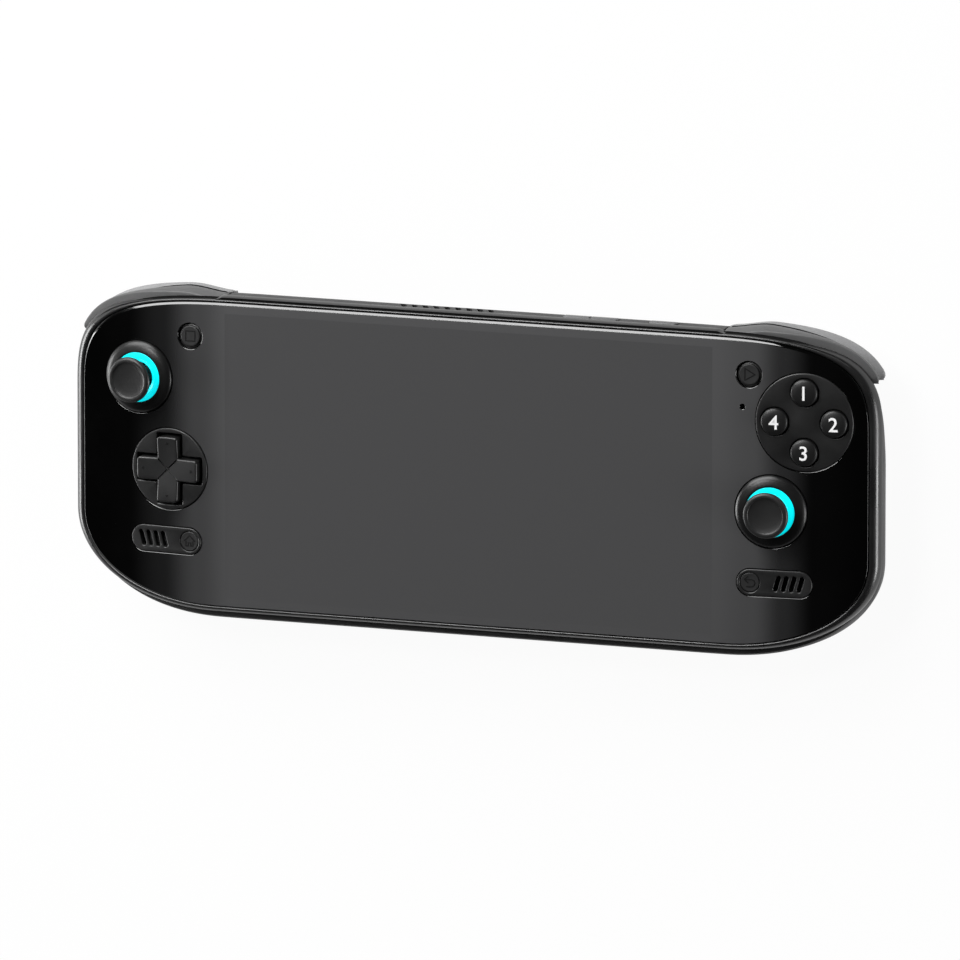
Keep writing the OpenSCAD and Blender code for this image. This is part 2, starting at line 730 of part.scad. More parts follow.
// Round control plate with a skirt that stands on the mid frame
control_plate_t = 1.8;
module control_plate(dia) {
  difference() {
    translate([0, 0, -plate_top + 0.05]) cylinder(d = dia, h = plate_top);
    translate([0, 0, -plate_top - 1])
      cylinder(d = dia - 2 * skirt_w, h = plate_top + 1.05 - control_plate_t);
    children();
  }
}

// Rubber sheet under a control plate
sheet_t = 0.5;
sheet_top = -plate_low - 0.6;
module membrane(r, bump_r, bump_h, bump_at) {
  translate([0, 0, sheet_top - sheet_t]) cylinder(r = r, h = sheet_t);
  for (a = [0 : 90 : 270])
    rotate([0, 0, a])
      translate([bump_at, 0, sheet_top - 0.1])
        cylinder(r = bump_r, h = bump_h + 0.1);
}

// Direction pad
cross_gap = 0.6;
cross_low = -3;
flange_low = -3.5;
rocker_r = dpad_dia / 2 - 3.05;
gimbal_z = -3.75;
gimbal_r = 1.1;
gimbal_half = 1.2;
trunnion_half = 1.6;
module cross_outline(grow) {
  for (a = [0, 90])
    rotate(a)
      square([2 * (cross_half + grow), cross_w + 2 * grow], center = true);
}
module at_dpad() { on_front(-lower_x, lower_y) children(); }
module dpad_plate() {
  color([0.13, 0.13, 0.14])
    at_dpad()
      control_plate(dpad_dia)
        translate([0, 0, -plate_top])
          linear_extrude(height = 2 * plate_top)
            cross_outline(cross_gap);
}
module dpad_cross() {
  color([0.17, 0.17, 0.18])
    at_dpad()
      difference() {
        union() {
          intersection() {
            translate([0, 0, cross_low])
              linear_extrude(height = cross_top - cross_low)
                cross_outline(0);
            translate([0, 0, flange_low]) cylinder(r = cross_half + 0.15, h = 9);
          }
          translate([0, 0, flange_low]) cylinder(r = rocker_r, h = 0.6);
        }
        translate([0, 0, gimbal_z]) {
          sphere(r = trunnion_half + 0.25);
          rotate([90, 0, 0])
            cylinder(r = gimbal_r + run_gap, h = 4 * gimbal_half, center = true);
        }
      }
}
module dpad_pivot() {
  color([0.7, 0.7, 0.72])
    at_dpad()
      translate([0, 0, gimbal_z]) {
        rotate([90, 0, 0]) cylinder(r = gimbal_r, h = 2 * gimbal_half, center = true);
        rotate([0, 90, 0]) cylinder(r = trunnion_r, h = 2 * trunnion_half, center = true);
      }
}
module dpad_membrane() {
  color([0.3, 0.3, 0.32])
    at_dpad()
      membrane(dpad_dia / 2 - 0.2, 1.6, 0.4, cross_half - 2.4);
}

// Face buttons
flange_r = face_cap / 2 + 0.5;
flange_top = -control_plate_t - 0.1;
module at_face() { on_front(upper_x, upper_y) children(); }
module face_plate() {
  color([0.14, 0.14, 0.15])
    at_face()
      control_plate(face_dia)
        for (a = [0 : 90 : 270])
          rotate([0, 0, a])
            translate([face_r, 0, -plate_top])
              cylinder(r = face_cap / 2 + 0.25, h = 2 * plate_top);
}
module face_button(a) {
  r = face_cap / 2;
  color([0.2, 0.2, 0.21])
    at_face()
      rotate([0, 0, a])
        translate([face_r, 0, 0])
          rotate_extrude()
            polygon([[0, flange_top - 1.3], [flange_r, flange_top - 1.3], [flange_r, flange_top],
              [r, flange_top], [r, face_top - 0.8], [r - 0.2, face_top - 0.45],
              [r - 0.8, face_top - 0.15], [r - 1.8, face_top - 0.03], [0, face_top]]);
}
module face_button_right() { face_button(0); }
module face_button_top() { face_button(90); }
module face_button_left() { face_button(180); }
module face_button_bottom() { face_button(270); }
module face_membrane() {
  color([0.3, 0.3, 0.32])
    at_face()
      membrane(face_dia / 2 - 0.2, 2.2, -sheet_top + flange_top - 1.45 - face_travel, face_r);
}

// Small round buttons
stem_r = 1.5;
stem_low = -4.5;
home_in = pod_w / 2 - pod_h / 2 + 0.05;
slot_mid = 3.75;
slot_len = 4.2;
slot_slant = 16;
module small_button(x) {
  r = small_dia / 2;
  color([0.1, 0.1, 0.11])
    on_front(x, small_y)
      rotate_extrude()
        polygon([[0, -0.2], [r - 0.1, -0.15], [r, -0.3], [r, -0.7], [r + 0.45, -0.8],
          [r + 0.45, -glass_t - 0.25], [r + 1.1, -glass_t - 0.25], [r + 1.1, -glass_t - 1],
          [stem_r, -glass_t - 1.1], [stem_r, stem_low], [0, stem_low]]);
}
module select_button() { small_button(-small_x); }
module start_button() { small_button(small_x); }
grille_t = 1.5;
module pod_button(s) {
  r = home_dia / 2;
  color([0.1, 0.1, 0.11])
    on_front(s * pod_x, pod_y)
      translate([-s * home_in, 0, 0])
        rotate_extrude()
          polygon([[0, -0.15], [r - 0.15, -0.1], [r, -0.25], [r, -grille_t - 0.15],
            [r + 0.35, -grille_t - 0.15], [r + 0.35, -grille_t - 0.8], [stem_r, -grille_t - 0.9],
            [stem_r, stem_low], [0, stem_low]]);
}
module home_button() { pod_button(-1); }
module back_button() { pod_button(1); }

// Capsule with slanted slots and the room of a round button
module grille(s) {
  color([0.12, 0.12, 0.13])
    on_front(s * pod_x, pod_y)
      difference() {
        translate([0, 0, -plate_top + 0.05]) stadium(pod_w, pod_h, plate_top);
        translate([0, 0, -plate_top - 1])
          stadium(pod_w - 1.1, pod_h - 1.1, plate_top + 1 - grille_t);
        translate([-s * home_in, 0, -plate_top]) cylinder(d = home_dia + 0.3, h = 2 * plate_top);
        for (i = [0 : pod_slots - 1])
          translate([s * (slot_mid + (i - (pod_slots - 1) / 2) * slot_pitch), 0, -plate_top])
            rotate([0, 0, -s * slot_slant])
              rotate([0, 0, 90])
                stadium(slot_len, slot_w, 2 * plate_top);
      }
}
module left_grille() { grille(-1); }
module right_grille() { grille(1); }
module speaker(s) {
  color([0.25, 0.25, 0.27])
    on_front(s * pod_x, pod_y)
      translate([s * slot_mid - 6.5, -5, -plate_low - seat_gap - 3.6])
        cube([13, 10, 3.6]);
}
module left_speaker() { speaker(-1); }
module right_speaker() { speaker(1); }

// Bumpers and triggers
bumper_front = rim_d + 0.4;
bumper_back = bumper_front + bumper_d;
trigger_front = bumper_back + 0.3;
bumper_pin_r = 0.8;
bumper_pin_o = -0.7;
bumper_pin_x = shoulder_in + 3.4;
bumper_pin_y = glass_y + top_at(bumper_pin_o, t_at_x(bumper_pin_o, bumper_pin_x))[1];
module bumper(s) {
  sh = shoulder_out;
  color([0.22, 0.22, 0.23])
    sided(s)
      difference() {
        intersection() {
          corner_bar([[-2.8, bumper_d, 0], [-2.8, 0, 0], [sh - 1.85, 0, 1],
            [sh - 0.95, 0.6, 0.9], [sh - 0.25, 2.1, 0.7], [sh, 3.7, 0.45],
            [sh, bumper_d, 0.3]], bumper_front, 0);
          shoulder_room(side_gap, end_gap, -10);
        }
        translate([bumper_pin_x, bumper_pin_y, 0])
          cylinder(r = bumper_pin_r + run_gap, h = 2 * front_z);
      }
}
module left_bumper() { bumper(-1); }
module right_bumper() { bumper(1); }
module bumper_pins() {
  color([0.7, 0.7, 0.72])
    for (s = [-1, 1])
      sided(s)
        translate([bumper_pin_x, bumper_pin_y, surf_z(bumper_pin_x) - bumper_back])
          cylinder(r = bumper_pin_r, h = bumper_back - rim_d - 0.1);
}
ear_w = 2.5;
ear_r = 1.7;
ear_at = [9, chord_len - 15];
trigger_low = 1.9;
lip_low = -0.7;
lip_d = 14.7;
module trigger(s) {
  sh = shoulder_out;
  color([0.3, 0.3, 0.31])
    sided(s)
      difference() {
        union() {
          intersection() {
            corner_bar([[-9, 1, 0], [-9, 0, 0], [sh, 0, 0.3], [sh + 0.3, 0.25, 0.3],
              [sh + 0.1, 0.55, 0.3], [sh - 0.8, 0.82, 0.3], [sh - 2.3, 0.97, 0.3],
              [sh - 4.2, 1, 0.3]], trigger_front, trigger_back);
            union() {
              shoulder_room(side_gap, end_gap, trigger_low);
              intersection() {
                shoulder_room(side_gap, end_gap, lip_low);
                translate([0, 0, front_z - lip_d - 30]) cube([far, far, 30]);
              }
            }
          }
          chord_frame()
            for (e = ear_at)
              translate([e, pin_h, front_z - pin_d]) {
                rotate([0, 90, 0]) cylinder(r = ear_r, h = ear_w);
                translate([0, 0, -ear_r]) cube([ear_w, trigger_low - pin_h + 0.4, ear_r + 0.6]);
              }
        }
        pin_bore(trigger_r + run_gap);
      }
}
module left_trigger() { trigger(-1); }
module right_trigger() { trigger(1); }
module trigger_pins() {
  color([0.7, 0.7, 0.72])
    for (s = [-1, 1])
      sided(s)
        chord_frame()
          translate([block_at[0], pin_h, front_z - pin_d])
            rotate([0, 90, 0])
              cylinder(r = trigger_r, h = block_at[1] - block_at[0] + block_w);
}

// Coil on each trigger pin
coil_turns = 5;
coil_steps = 10;
coil_sides = 5;
coil_r = trigger_r + 0.45;
wire_r = 0.2;
module coil() {
  n = coil_turns * coil_steps;
  m = coil_sides;
  points = [for (i = [0 : n], j = [0 : m - 1])
    let(a = 360 * i / coil_steps, b = 360 * j / m, r = coil_r + wire_r * cos(b))
    [1.1 * a / 360 + wire_r * sin(b), r * cos(a), r * sin(a)]];
  sides = [for (i = [0 : n - 1], j = [0 : m - 1])
    let(k = (j + 1) % m)
    each [[i * m + j, i * m + k, (i + 1) * m + k], [i * m + j, (i + 1) * m + k, (i + 1) * m + j]]];
  ends = [[for (j = [m - 1 : -1 : 0]) j], [for (j = [0 : m - 1]) n * m + j]];
  polyhedron(points = points, faces = concat(sides, ends));
}
module trigger_springs() {
  color([0.75, 0.75, 0.77])
    for (s = [-1, 1])
      sided(s)
        chord_frame()
          translate([ear_at[0] + ear_w + 1, pin_h, front_z - pin_d])
            coil();
}

// Keys of the top wall
key_pin_r = 0.5;
key_pin_y = wall_top - 3.3;
key_flange = wall_top - shell_wall - 0.85;
key_foot = key_flange - 1.9;
foot_at = 5.2;
module key_body(x, w) {
  translate([x - w / 2, key_flange - 0.3, front_z - key_d - key_t / 2])
    cube([w, wall_top + key_out - key_flange + 0.3, key_t]);
  translate([x - w / 2 - 1, key_flange - 1.3, front_z - key_d - key_t / 2 - 0.4])
    cube([w + 2, 1.3, key_t + 0.8]);
}
module volume_rocker() {
  color([0.3, 0.3, 0.31])
    difference() {
      union() {
        key_body(volume_x, volume_w);
        for (s = [-1, 1])
          translate([volume_x + s * foot_at - 1, key_foot, front_z - key_d - 0.8])
            cube([2, 1.2, 1.6]);
      }
      translate([volume_x, key_pin_y, front_z - 12]) cylinder(r = key_pin_r + run_gap, h = 12);
    }
}
module volume_pin() {
  color([0.7, 0.7, 0.72])
    translate([volume_x, key_pin_y, front_z - 9.3])
      cylinder(r = key_pin_r, h = 9.3 - plate_low - 0.05);
}
module power_button() {
  color([0.3, 0.3, 0.31]) {
    key_body(power_x, power_w);
    translate([power_x - 1, key_foot, front_z - key_d - 0.8]) cube([2, 1.2, 1.6]);
  }
}
key_board_x = volume_x - 10.1;
key_board_y = key_foot - 0.6 - 1.6 - 1;
key_board_h = 5.6;
module side_key_board() {
  color([0.1, 0.3, 0.2])
    translate([key_board_x, key_board_y, front_z - plate_low - seat_gap - key_board_h])
      cube([power_x + 6.25 - key_board_x, 1, key_board_h]);
}
module tact_switches() {
  color([0.6, 0.6, 0.62]) {
    for (x = [volume_x - foot_at, volume_x + foot_at, power_x])
      translate([x - 1.4, key_board_y + 1, front_z - key_d - 1.2]) cube([2.8, 1.6, 2.4]);
    for (s = [-1, 1]) {
      on_front(s * small_x, small_y) translate([-1.5, -1.5, -5.7]) cube([3, 3, 0.75]);
      on_front(s * pod_x, pod_y)
        translate([-s * home_in - 1.5, -1.5, -5.7])
          cube([3, 3, 0.75]);
    }
  }
}

// Control board of a wing, with the window of its stick
wing_board_w = 40;
wing_board_low = 29.5;
wing_board_high = 34;
module control_board(s, hole_x, hole_y) {
  color([0.1, 0.3, 0.2])
    difference() {
      intersection() {
        on_front(s * board_x, 0)
          translate([-wing_board_w / 2, -wing_board_low, -board_d - board_t])
            cube([wing_board_w, wing_board_low + wing_board_high, board_t]);
        linear_extrude(height = front_z) polygon(outline(-7));
        translate([s > 0 ? shoulder_in + 1.4 : -far - shoulder_in - 1.4, -far, 0])
          cube([far, 2 * far, front_z]);
      }
      on_front(hole_x, hole_y)
        translate([0, 0, -6])
          cube([stick_box + 4.4, stick_box + 0.8, 12], center = true);
      on_front(s * pod_x, pod_y)
        translate([s * slot_mid - 7, -8, -12])
          cube([14, 13.5, 12]);
    }
}
module left_control_board() { control_board(-1, -upper_x, upper_y); }
module right_control_board() { control_board(1, lower_x, lower_y); }

// Boards, battery, fan and heat sink behind the display
chip_x = fan_x + 30;
chip_y = fan_y + 2;
chip_w = 14;
chip_t = 1;
module main_board() {
  color([0.1, 0.3, 0.2])
    difference() {
      translate([main_left, main_low, front_z - main_d - board_t])
        cube([main_right - main_left, main_high - main_low, board_t]);
      for (p = board_posts)
        translate([p[0], p[1], front_z - main_d - 2]) cylinder(r = 1, h = 4);
    }
}
module processor() {
  color([0.2, 0.2, 0.22])
    translate([chip_x, chip_y, front_z - main_d - board_t - chip_t / 2])
      cube([chip_w, chip_w, chip_t], center = true);
}
module battery() {
  color([0.5, 0.5, 0.52])
    translate([-battery_w / 2, battery_low, front_z - plate_low - 0.2 - battery_t])
      cube([battery_w, battery_h, battery_t]);
}
fan_front = main_d + board_t + 0.2;
fan_back = inner_d - 0.5;
fan_floor = 0.7;
fan_axle_r = 0.8;
module fan_housing() {
  cavity = fan_side / 2 - 1.6;
  deep = fan_back - fan_front;
  color([0.18, 0.18, 0.19])
    translate([fan_x, fan_y, front_z - fan_back]) {
      difference() {
        translate([-fan_side / 2, -fan_side / 2, 0]) cube([fan_side, fan_side, deep]);
        translate([0, 0, fan_floor]) cylinder(r = cavity, h = deep - 2 * fan_floor);
        translate([0, 0, -1]) cylinder(r = cavity - 4.6, h = 3);
        translate([-12, 0, fan_floor]) cube([24, fan_side, deep - 2 * fan_floor]);
      }
      translate([0, 0, 1]) cylinder(r = fan_axle_r, h = deep - 1.2);
    }
}
module fan_rotor() {
  hub = 5;
  deep = fan_back - fan_front - 2 * fan_floor - 0.6;
  color([0.25, 0.25, 0.27])
    translate([fan_x, fan_y, front_z - fan_back + fan_floor + 0.3])
      difference() {
        union() {
          cylinder(r = hub, h = deep);
          for (i = [0 : blade_count - 1])
            rotate([0, 0, i * 360 / blade_count])
              translate([hub - 0.4, -0.3, 0.2])
                cube([rotor_dia / 2 - hub + 0.3, 0.6, deep - 0.4]);
        }
        translate([0, 0, -1]) cylinder(r = fan_axle_r + run_gap, h = deep + 2);
      }
}
fin_count = 12;
pipe_r = 1.5;
sink_h = 18;
pipe_x = chip_x - chip_w / 2 - 3;
module heat_sink() {
  top = main_d + board_t + chip_t;
  fin_y = fan_y + fan_side / 2 + 0.4;
  fin_h = key_flange - fin_y - 0.3;
  fin_w = 25;
  fin_back = inner_d - 3.4;
  color([0.72, 0.5, 0.35]) {
    translate([chip_x - chip_w / 2 - 3.2, chip_y - sink_h / 2, front_z - top - 1.2])
      cube([chip_w + 5, sink_h, 1.2]);
    translate([pipe_x, chip_y - sink_h / 2, front_z - top - pipe_r])
      rotate([-90, 0, 0])
        cylinder(r = pipe_r, h = fin_y + fin_h - chip_y + sink_h / 2 - 1.2);
    translate([fan_x - fin_w / 2, fin_y, front_z - top - 0.6])
      cube([pipe_x - fan_x + fin_w / 2, fin_h, 0.7]);
    for (i = [0 : fin_count - 1])
      translate([fan_x - fin_w / 2 + i * (fin_w - 0.5) / (fin_count - 1), fin_y, front_z - fin_back])
        cube([0.5, fin_h, fin_back - top]);
  }
}

// Charging socket and its board
usb_board_d = usb_d + usb_h / 2;
usb_len = 7.4;
module usb_port() {
  color([0.75, 0.75, 0.77])
    translate([0, wall_low + 0.45, front_z - usb_d])
      rotate([-90, 0, 0])
        union() {
          difference() {
            stadium(usb_w, usb_h, usb_len);
            translate([0, 0, -1]) stadium(usb_w - 0.7, usb_h - 0.7, usb_len);
          }
          translate([-3.3, -0.35, 1.2]) cube([6.6, 0.7, usb_len - 1.6]);
        }
}
module usb_board() {
  color([0.1, 0.3, 0.2])
    translate([-usb_board_w / 2, usb_board_y, front_z - usb_board_d - board_t])
      cube([usb_board_w, usb_board_h, board_t]);
}

// Coin motors in the grips and the microphone
motor_r = 5;
motor_t = 3;
motor_x = upper_x + 1.3;
module vibration_motors() {
  color([0.7, 0.7, 0.72])
    for (s = [-1, 1])
      translate([s * motor_x, -12, shell_wall + seat_gap])
        cylinder(r = motor_r, h = motor_t);
}
module microphone() {
  color([0.75, 0.7, 0.5])
    on_front(mic_x, mic_y)
      translate([-1.4, -1, -board_d + 0.35])
        cube([2.8, 2, 1]);
}

front_glass();
display_panel();
mid_frame();
rear_shell();
rear_screws();
left_stick_bezel();
left_stick_ring();
left_stick_base();
left_stick_yoke();
left_stick_shaft();
left_stick_cap();
right_stick_bezel();
right_stick_ring();
right_stick_base();
right_stick_yoke();
right_stick_shaft();
right_stick_cap();
dpad_plate();
dpad_cross();
dpad_pivot();
dpad_membrane();
face_plate();
face_button_top();
face_button_left();
face_button_right();
face_button_bottom();
face_membrane();
select_button();
start_button();
home_button();
back_button();
left_grille();
right_grille();
left_speaker();
right_speaker();
left_bumper();
right_bumper();
bumper_pins();
left_trigger();
right_trigger();
trigger_pins();
trigger_springs();
volume_rocker();
volume_pin();
power_button();
side_key_board();
tact_switches();
left_control_board();
right_control_board();
main_board();
processor();
battery();
fan_housing();
fan_rotor();
heat_sink();
usb_port();
usb_board();
vibration_motors();
microphone();
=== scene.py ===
import bmesh
import bpy
import json
import math
from mathutils import Matrix, Vector


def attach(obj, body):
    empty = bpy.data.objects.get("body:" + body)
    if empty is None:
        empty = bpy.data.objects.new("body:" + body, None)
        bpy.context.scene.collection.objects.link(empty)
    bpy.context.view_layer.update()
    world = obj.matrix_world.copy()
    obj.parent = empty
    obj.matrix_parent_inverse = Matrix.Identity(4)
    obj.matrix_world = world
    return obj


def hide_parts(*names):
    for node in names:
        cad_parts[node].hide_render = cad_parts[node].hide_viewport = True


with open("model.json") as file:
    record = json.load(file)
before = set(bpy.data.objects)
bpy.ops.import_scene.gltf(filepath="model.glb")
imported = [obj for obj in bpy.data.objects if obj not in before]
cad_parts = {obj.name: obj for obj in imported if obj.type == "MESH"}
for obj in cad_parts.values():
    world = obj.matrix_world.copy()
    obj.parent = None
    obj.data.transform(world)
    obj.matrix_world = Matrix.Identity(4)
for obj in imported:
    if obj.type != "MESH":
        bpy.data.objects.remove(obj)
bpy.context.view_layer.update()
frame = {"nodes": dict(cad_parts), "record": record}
scene = bpy.context.scene

# Dimensions in millimetres, the same as in the part's source
MM = 0.001
HALF_W, HALF_H, GLASS_Y, FRONT_Z = 106.9, 39.8, 0.3, 21.0
FLAT, WING_R = 60.0, 260.0
TOP_CORNER = (51.6, 26.4, 3.34)
LOW_CORNER = (37.5, 22.7, 2.09)
DROP = 1.45
RIM_SIDE, SHELL_SIDE = 0.63, -0.25
RIM_D, PLATE_TOP, PLATE_LOW = 2.9, 3.1, 4.4
WALL_TOP, WALL_LOW = 41.2, -43.5
UPPER = (90.65, 19.05)
LOWER = (82.0, -4.45)
SMALL = (76.1, 30.75)
POD = (82.95, -23.1)
MIC = (74.4, 22.35)
SHOULDER_IN, SHOULDER_LOW, SHOULDER_OUT = 67.6, 27.2, 2.7
BUMPER_TOP, TRIGGER_TOP = 3.3, 8.3
VOLUME_KEY, POWER_KEY, KEY_D = (31.1, 14.8), (50.75, 7.5), 7.1
CAPSULE, CAPSULE_BUTTON, CAPSULE_SLOTS = (19.8, 6.9), 6.5, 3.75
PAD_R, FACE_R, MIC_R = 10.65, 12.75, 0.6
SKIRT_LOW = -3.05
SCREWS = [(s * 63.0, y) for s in (-1, 1) for y in (29.6, 0.0, -32.8)]


# Front surface, flat in the middle and bent back at both ends
def past(x):
    return max(abs(x) - FLAT, 0.0)


def sag(x):
    return WING_R - math.sqrt(WING_R * WING_R - past(x) ** 2)


def tilt(x):
    return math.copysign(math.asin(past(x) / WING_R), x)


def surf(x):
    return FRONT_Z - sag(x)


def on_front(x, y, z=0.0):
    t = tilt(x)
    return Matrix(((math.cos(t), 0, math.sin(t), x + z * math.sin(t)), (0, 1, 0, y),
                   (-math.sin(t), 0, math.cos(t), surf(x) + z * math.cos(t)), (0, 0, 0, 1)))


def smooth(a, b, x):
    t = min(max((x - a) / (b - a), 0.0), 1.0)
    return t * t * (3 - 2 * t)


def lerp(a, b, t):
    return a + (b - a) * t


# Outline of the glass, grown by o
def corner(o, t, top):
    w, h, n = TOP_CORNER if top else LOW_CORNER
    a, b = max(w + o, 2.0), max(h + o, 1.0)
    return (HALF_W + o - a + a * max(math.cos(t), 0.0) ** (2 / n),
            HALF_H + o - b + b * max(math.sin(t), 0.0) ** (2 / n))


def even_angles(top, count):
    ts = [math.pi / 2 * i / 3000 for i in range(3001)]
    pts = [corner(0, t, top) for t in ts]
    run = [0.0]
    for p, q in zip(pts, pts[1:]):
        run.append(run[-1] + math.dist(p, q))
    out, k = [], 0
    for i in range(count + 1):
        want = run[-1] * i / count
        while k < 2999 and run[k + 1] < want:
            k += 1
        out.append(ts[k] + (ts[k + 1] - ts[k]) * (want - run[k]) / (run[k + 1] - run[k]))
    return out


ANGLES = {True: even_angles(True, 60), False: even_angles(False, 48)}


def between(p, q, count):
    return [(lerp(p[0], q[0], i / (count + 1)), lerp(p[1], q[1], i / (count + 1)))
            for i in range(1, count + 1)]


def outline(o, dy=0.0):
    up = [corner(o, t, True) for t in ANGLES[True]]
    low = [corner(o, t, False) for t in ANGLES[False]]
    upper = up + between(up[-1], (-up[-1][0], up[-1][1]), 44) + [(-x, y) for x, y in reversed(up)]
    lower = ([(-x, -y) for x, y in low] + between((-low[-1][0], -low[-1][1]), (low[-1][0], -low[-1][1]), 44)
             + [(x, -y) for x, y in reversed(low)])
    pts = upper + between(upper[-1], lower[0], 10) + lower + between(lower[-1], upper[0], 10)
    return [(x, y + GLASS_Y + dy) for x, y in pts]


def widened(o, share, dy=0.0):
    """The outline, stretched along X by a share of its growth"""
    return [(x * (1 + share * max(o, 0.0) / HALF_W), y) for x, y in outline(o, dy)]


# Mesh helpers, all in millimetres until a piece is made
def loft(rings, wrap=True, close=False):
    n, m = len(rings[0]), len(rings)
    verts = [p for r in rings for p in r]
    faces = []
    for j in range(m if close else m - 1):
        k = (j + 1) % m
        for i in range(n if wrap else n - 1):
            l = (i + 1) % n
            faces.append((j * n + i, j * n + l, k * n + l, k * n + i))
    return verts, faces


def lathe(profile, segs=96, close=False):
    turn = [2 * math.pi * i / segs for i in range(segs)]
    return loft([[(r * math.cos(a), r * math.sin(a), z) for a in turn] for r, z in profile], close=close)


def fillet(points, radius, steps=4, closed=False):
    out = []
    n = len(points)
    for i, p in enumerate(points):
        r = p[2] if len(p) > 2 else radius
        if r <= 0 or (not closed and i in (0, n - 1)):
            out.append((p[0], p[1]))
            continue
        b = Vector(p[:2])
        u, v = Vector(points[i - 1][:2]) - b, Vector(points[(i + 1) % n][:2]) - b
        lu, lv = u.length, v.length
        u.normalize()
        v.normalize()
        d = min(r / math.tan(max(u.angle(v), 0.05) / 2), lu * 0.49, lv * 0.49)
        p0, p1 = b + u * d, b + v * d
        for k in range(steps + 1):
            s = k / steps
            q = p0 * (1 - s) ** 2 + b * 2 * s * (1 - s) + p1 * s * s
            out.append((q.x, q.y))
    return out


def spline(points, steps):
    """Smooth open line through the points"""
    pts = [Vector(p) for p in points]
    out = []
    for i in range(len(pts) - 1):
        a, b, c, d = pts[max(i - 1, 0)], pts[i], pts[i + 1], pts[min(i + 2, len(pts) - 1)]
        for k in range(steps):
            t = k / steps
            out.append(0.5 * (2 * b + (c - a) * t + (2 * a - 5 * b + 4 * c - d) * t * t
                              + (3 * b - a - 3 * c + d) * t ** 3))
    return [tuple(p) for p in out] + [tuple(pts[-1])]


def shrink(loop, d):
    """A counter-clockwise loop moved inwards by d"""
    if abs(d) < 1e-9:
        return list(loop)
    out = []
    n = len(loop)
    for i in range(n):
        (x0, y0), (x1, y1), (x2, y2) = loop[i - 1], loop[i], loop[(i + 1) % n]
        e1, e2 = Vector((x1 - x0, y1 - y0)).normalized(), Vector((x2 - x1, y2 - y1)).normalized()
        n1, n2 = Vector((-e1.y, e1.x)), Vector((-e2.y, e2.x))
        m = (n1 + n2) * (d / max(1 + n1.dot(n2), 0.3))
        out.append((x1 + m.x, y1 + m.y))
    return out


def circle(cx, cy, r, segs=72, sx=1.0):
    return [(cx + sx * r * math.cos(2 * math.pi * i / segs), cy + r * math.sin(2 * math.pi * i / segs))
            for i in range(segs)]


def stadium(cx, cy, w, h, turn=0.0, segs=18, sx=1.0):
    pts = []
    for s, a0 in ((1, -math.pi / 2), (-1, math.pi / 2)):
        for i in range(segs + 1):
            a = a0 + math.pi * i / segs
            pts.append((s * (w - h) / 2 + h / 2 * math.cos(a), h / 2 * math.sin(a)))
    c, k = math.cos(turn), math.sin(turn)
    return [(cx + sx * (x * c - y * k), cy + x * k + y * c) for x, y in pts]


def rectangle(cx, cy, w, h, r=0.4, sx=1.0):
    x, y = w / 2, h / 2
    pts = fillet([(-x, -y), (x, -y), (x, y), (-x, y)], r, 3, True)
    return [(cx + sx * p[0], cy + p[1]) for p in pts]


def listed(bm):
    bm.verts.index_update()
    made = [tuple(v.co) for v in bm.verts], [tuple(v.index for v in f.verts) for f in bm.faces]
    bm.free()
    return made


def split(bm, co, no):
    bmesh.ops.bisect_plane(bm, geom=bm.verts[:] + bm.edges[:] + bm.faces[:], dist=1e-4, plane_co=co, plane_no=no)


SLIM_BEVEL = 0.3


def plate(outer, holes, top, low, edge, steps=3, strips=(), bevel=()):
    """Closed plate with holes, its upper edges rounded, with extra edges at the strips' places along X.

    A bevel, given as insets and depths, takes the place of the outer rounding. It is full
    along the top of the outline and slim elsewhere.
    """
    bm = bmesh.new()
    caps = ([], [])
    for loop, s in [(outer, 1)] + [(h, -1) for h in holes]:
        levels = [(0, low)]
        for k in range(0 if bevel and s > 0 else steps + 1):
            a = math.pi / 2 * k / steps
            levels.append((edge * (1 - math.cos(a)), top - edge * (1 - math.sin(a))))
        levels += [(inset, top - d) for inset, d in bevel if s > 0]
        rings = []
        for inset, z in levels:
            ring = []
            for (x0, y0), (x, y) in zip(loop, shrink(loop, s * inset)):
                w = lerp(SLIM_BEVEL, 1.0, smooth(20, 33, y0)) if bevel and s > 0 and z > low else 1.0
                ring.append(bm.verts.new((lerp(x0, x, w), lerp(y0, y, w), top + (z - top) * w)))
            rings.append(ring)
        n = len(loop)
        for p, q in zip(rings, rings[1:]):
            for i in range(n):
                bm.faces.new((p[i], p[(i + 1) % n], q[(i + 1) % n], q[i]))
        for ring, cap in ((rings[0], caps[0]), (rings[-1], caps[1])):
            cap.extend(bm.edges.get((ring[i], ring[(i + 1) % n])) for i in range(n))
    for cap in caps:
        bmesh.ops.triangle_fill(bm, use_beauty=True, use_dissolve=False, edges=cap, normal=(0, 0, 1))
    for x in strips:
        split(bm, (x, 0, 0), (1, 0, 0))
    return listed(bm)


def sliced(part, planes):
    """The part with extra edges where the given planes cross it, each a point and a normal"""
    bm = bmesh.new()
    made = [bm.verts.new(v) for v in part[0]]
    for f in part[1]:
        bm.faces.new([made[i] for i in f])
    for co, no in planes:
        split(bm, co, no)
    return listed(bm)


def bent(part):
    return [(x, y, z + surf(x)) for x, y, z in part[0]], part[1]


def moved(part, matrix):
    return [tuple(matrix @ Vector(v)) for v in part[0]], part[1]


def mirrored(part):
    return [(-x, y, z) for x, y, z in part[0]], [tuple(reversed(f)) for f in part[1]]


def unchanged(part):
    return part


FLIPS = (("left", mirrored), ("right", unchanged))


def shift(x, y, z=0.0):
    return Matrix.Translation((x, y, z))


# Turns a shape that was drawn upright so that it points along Y
LAID = Matrix.Rotation(math.radians(90), 4, "X")


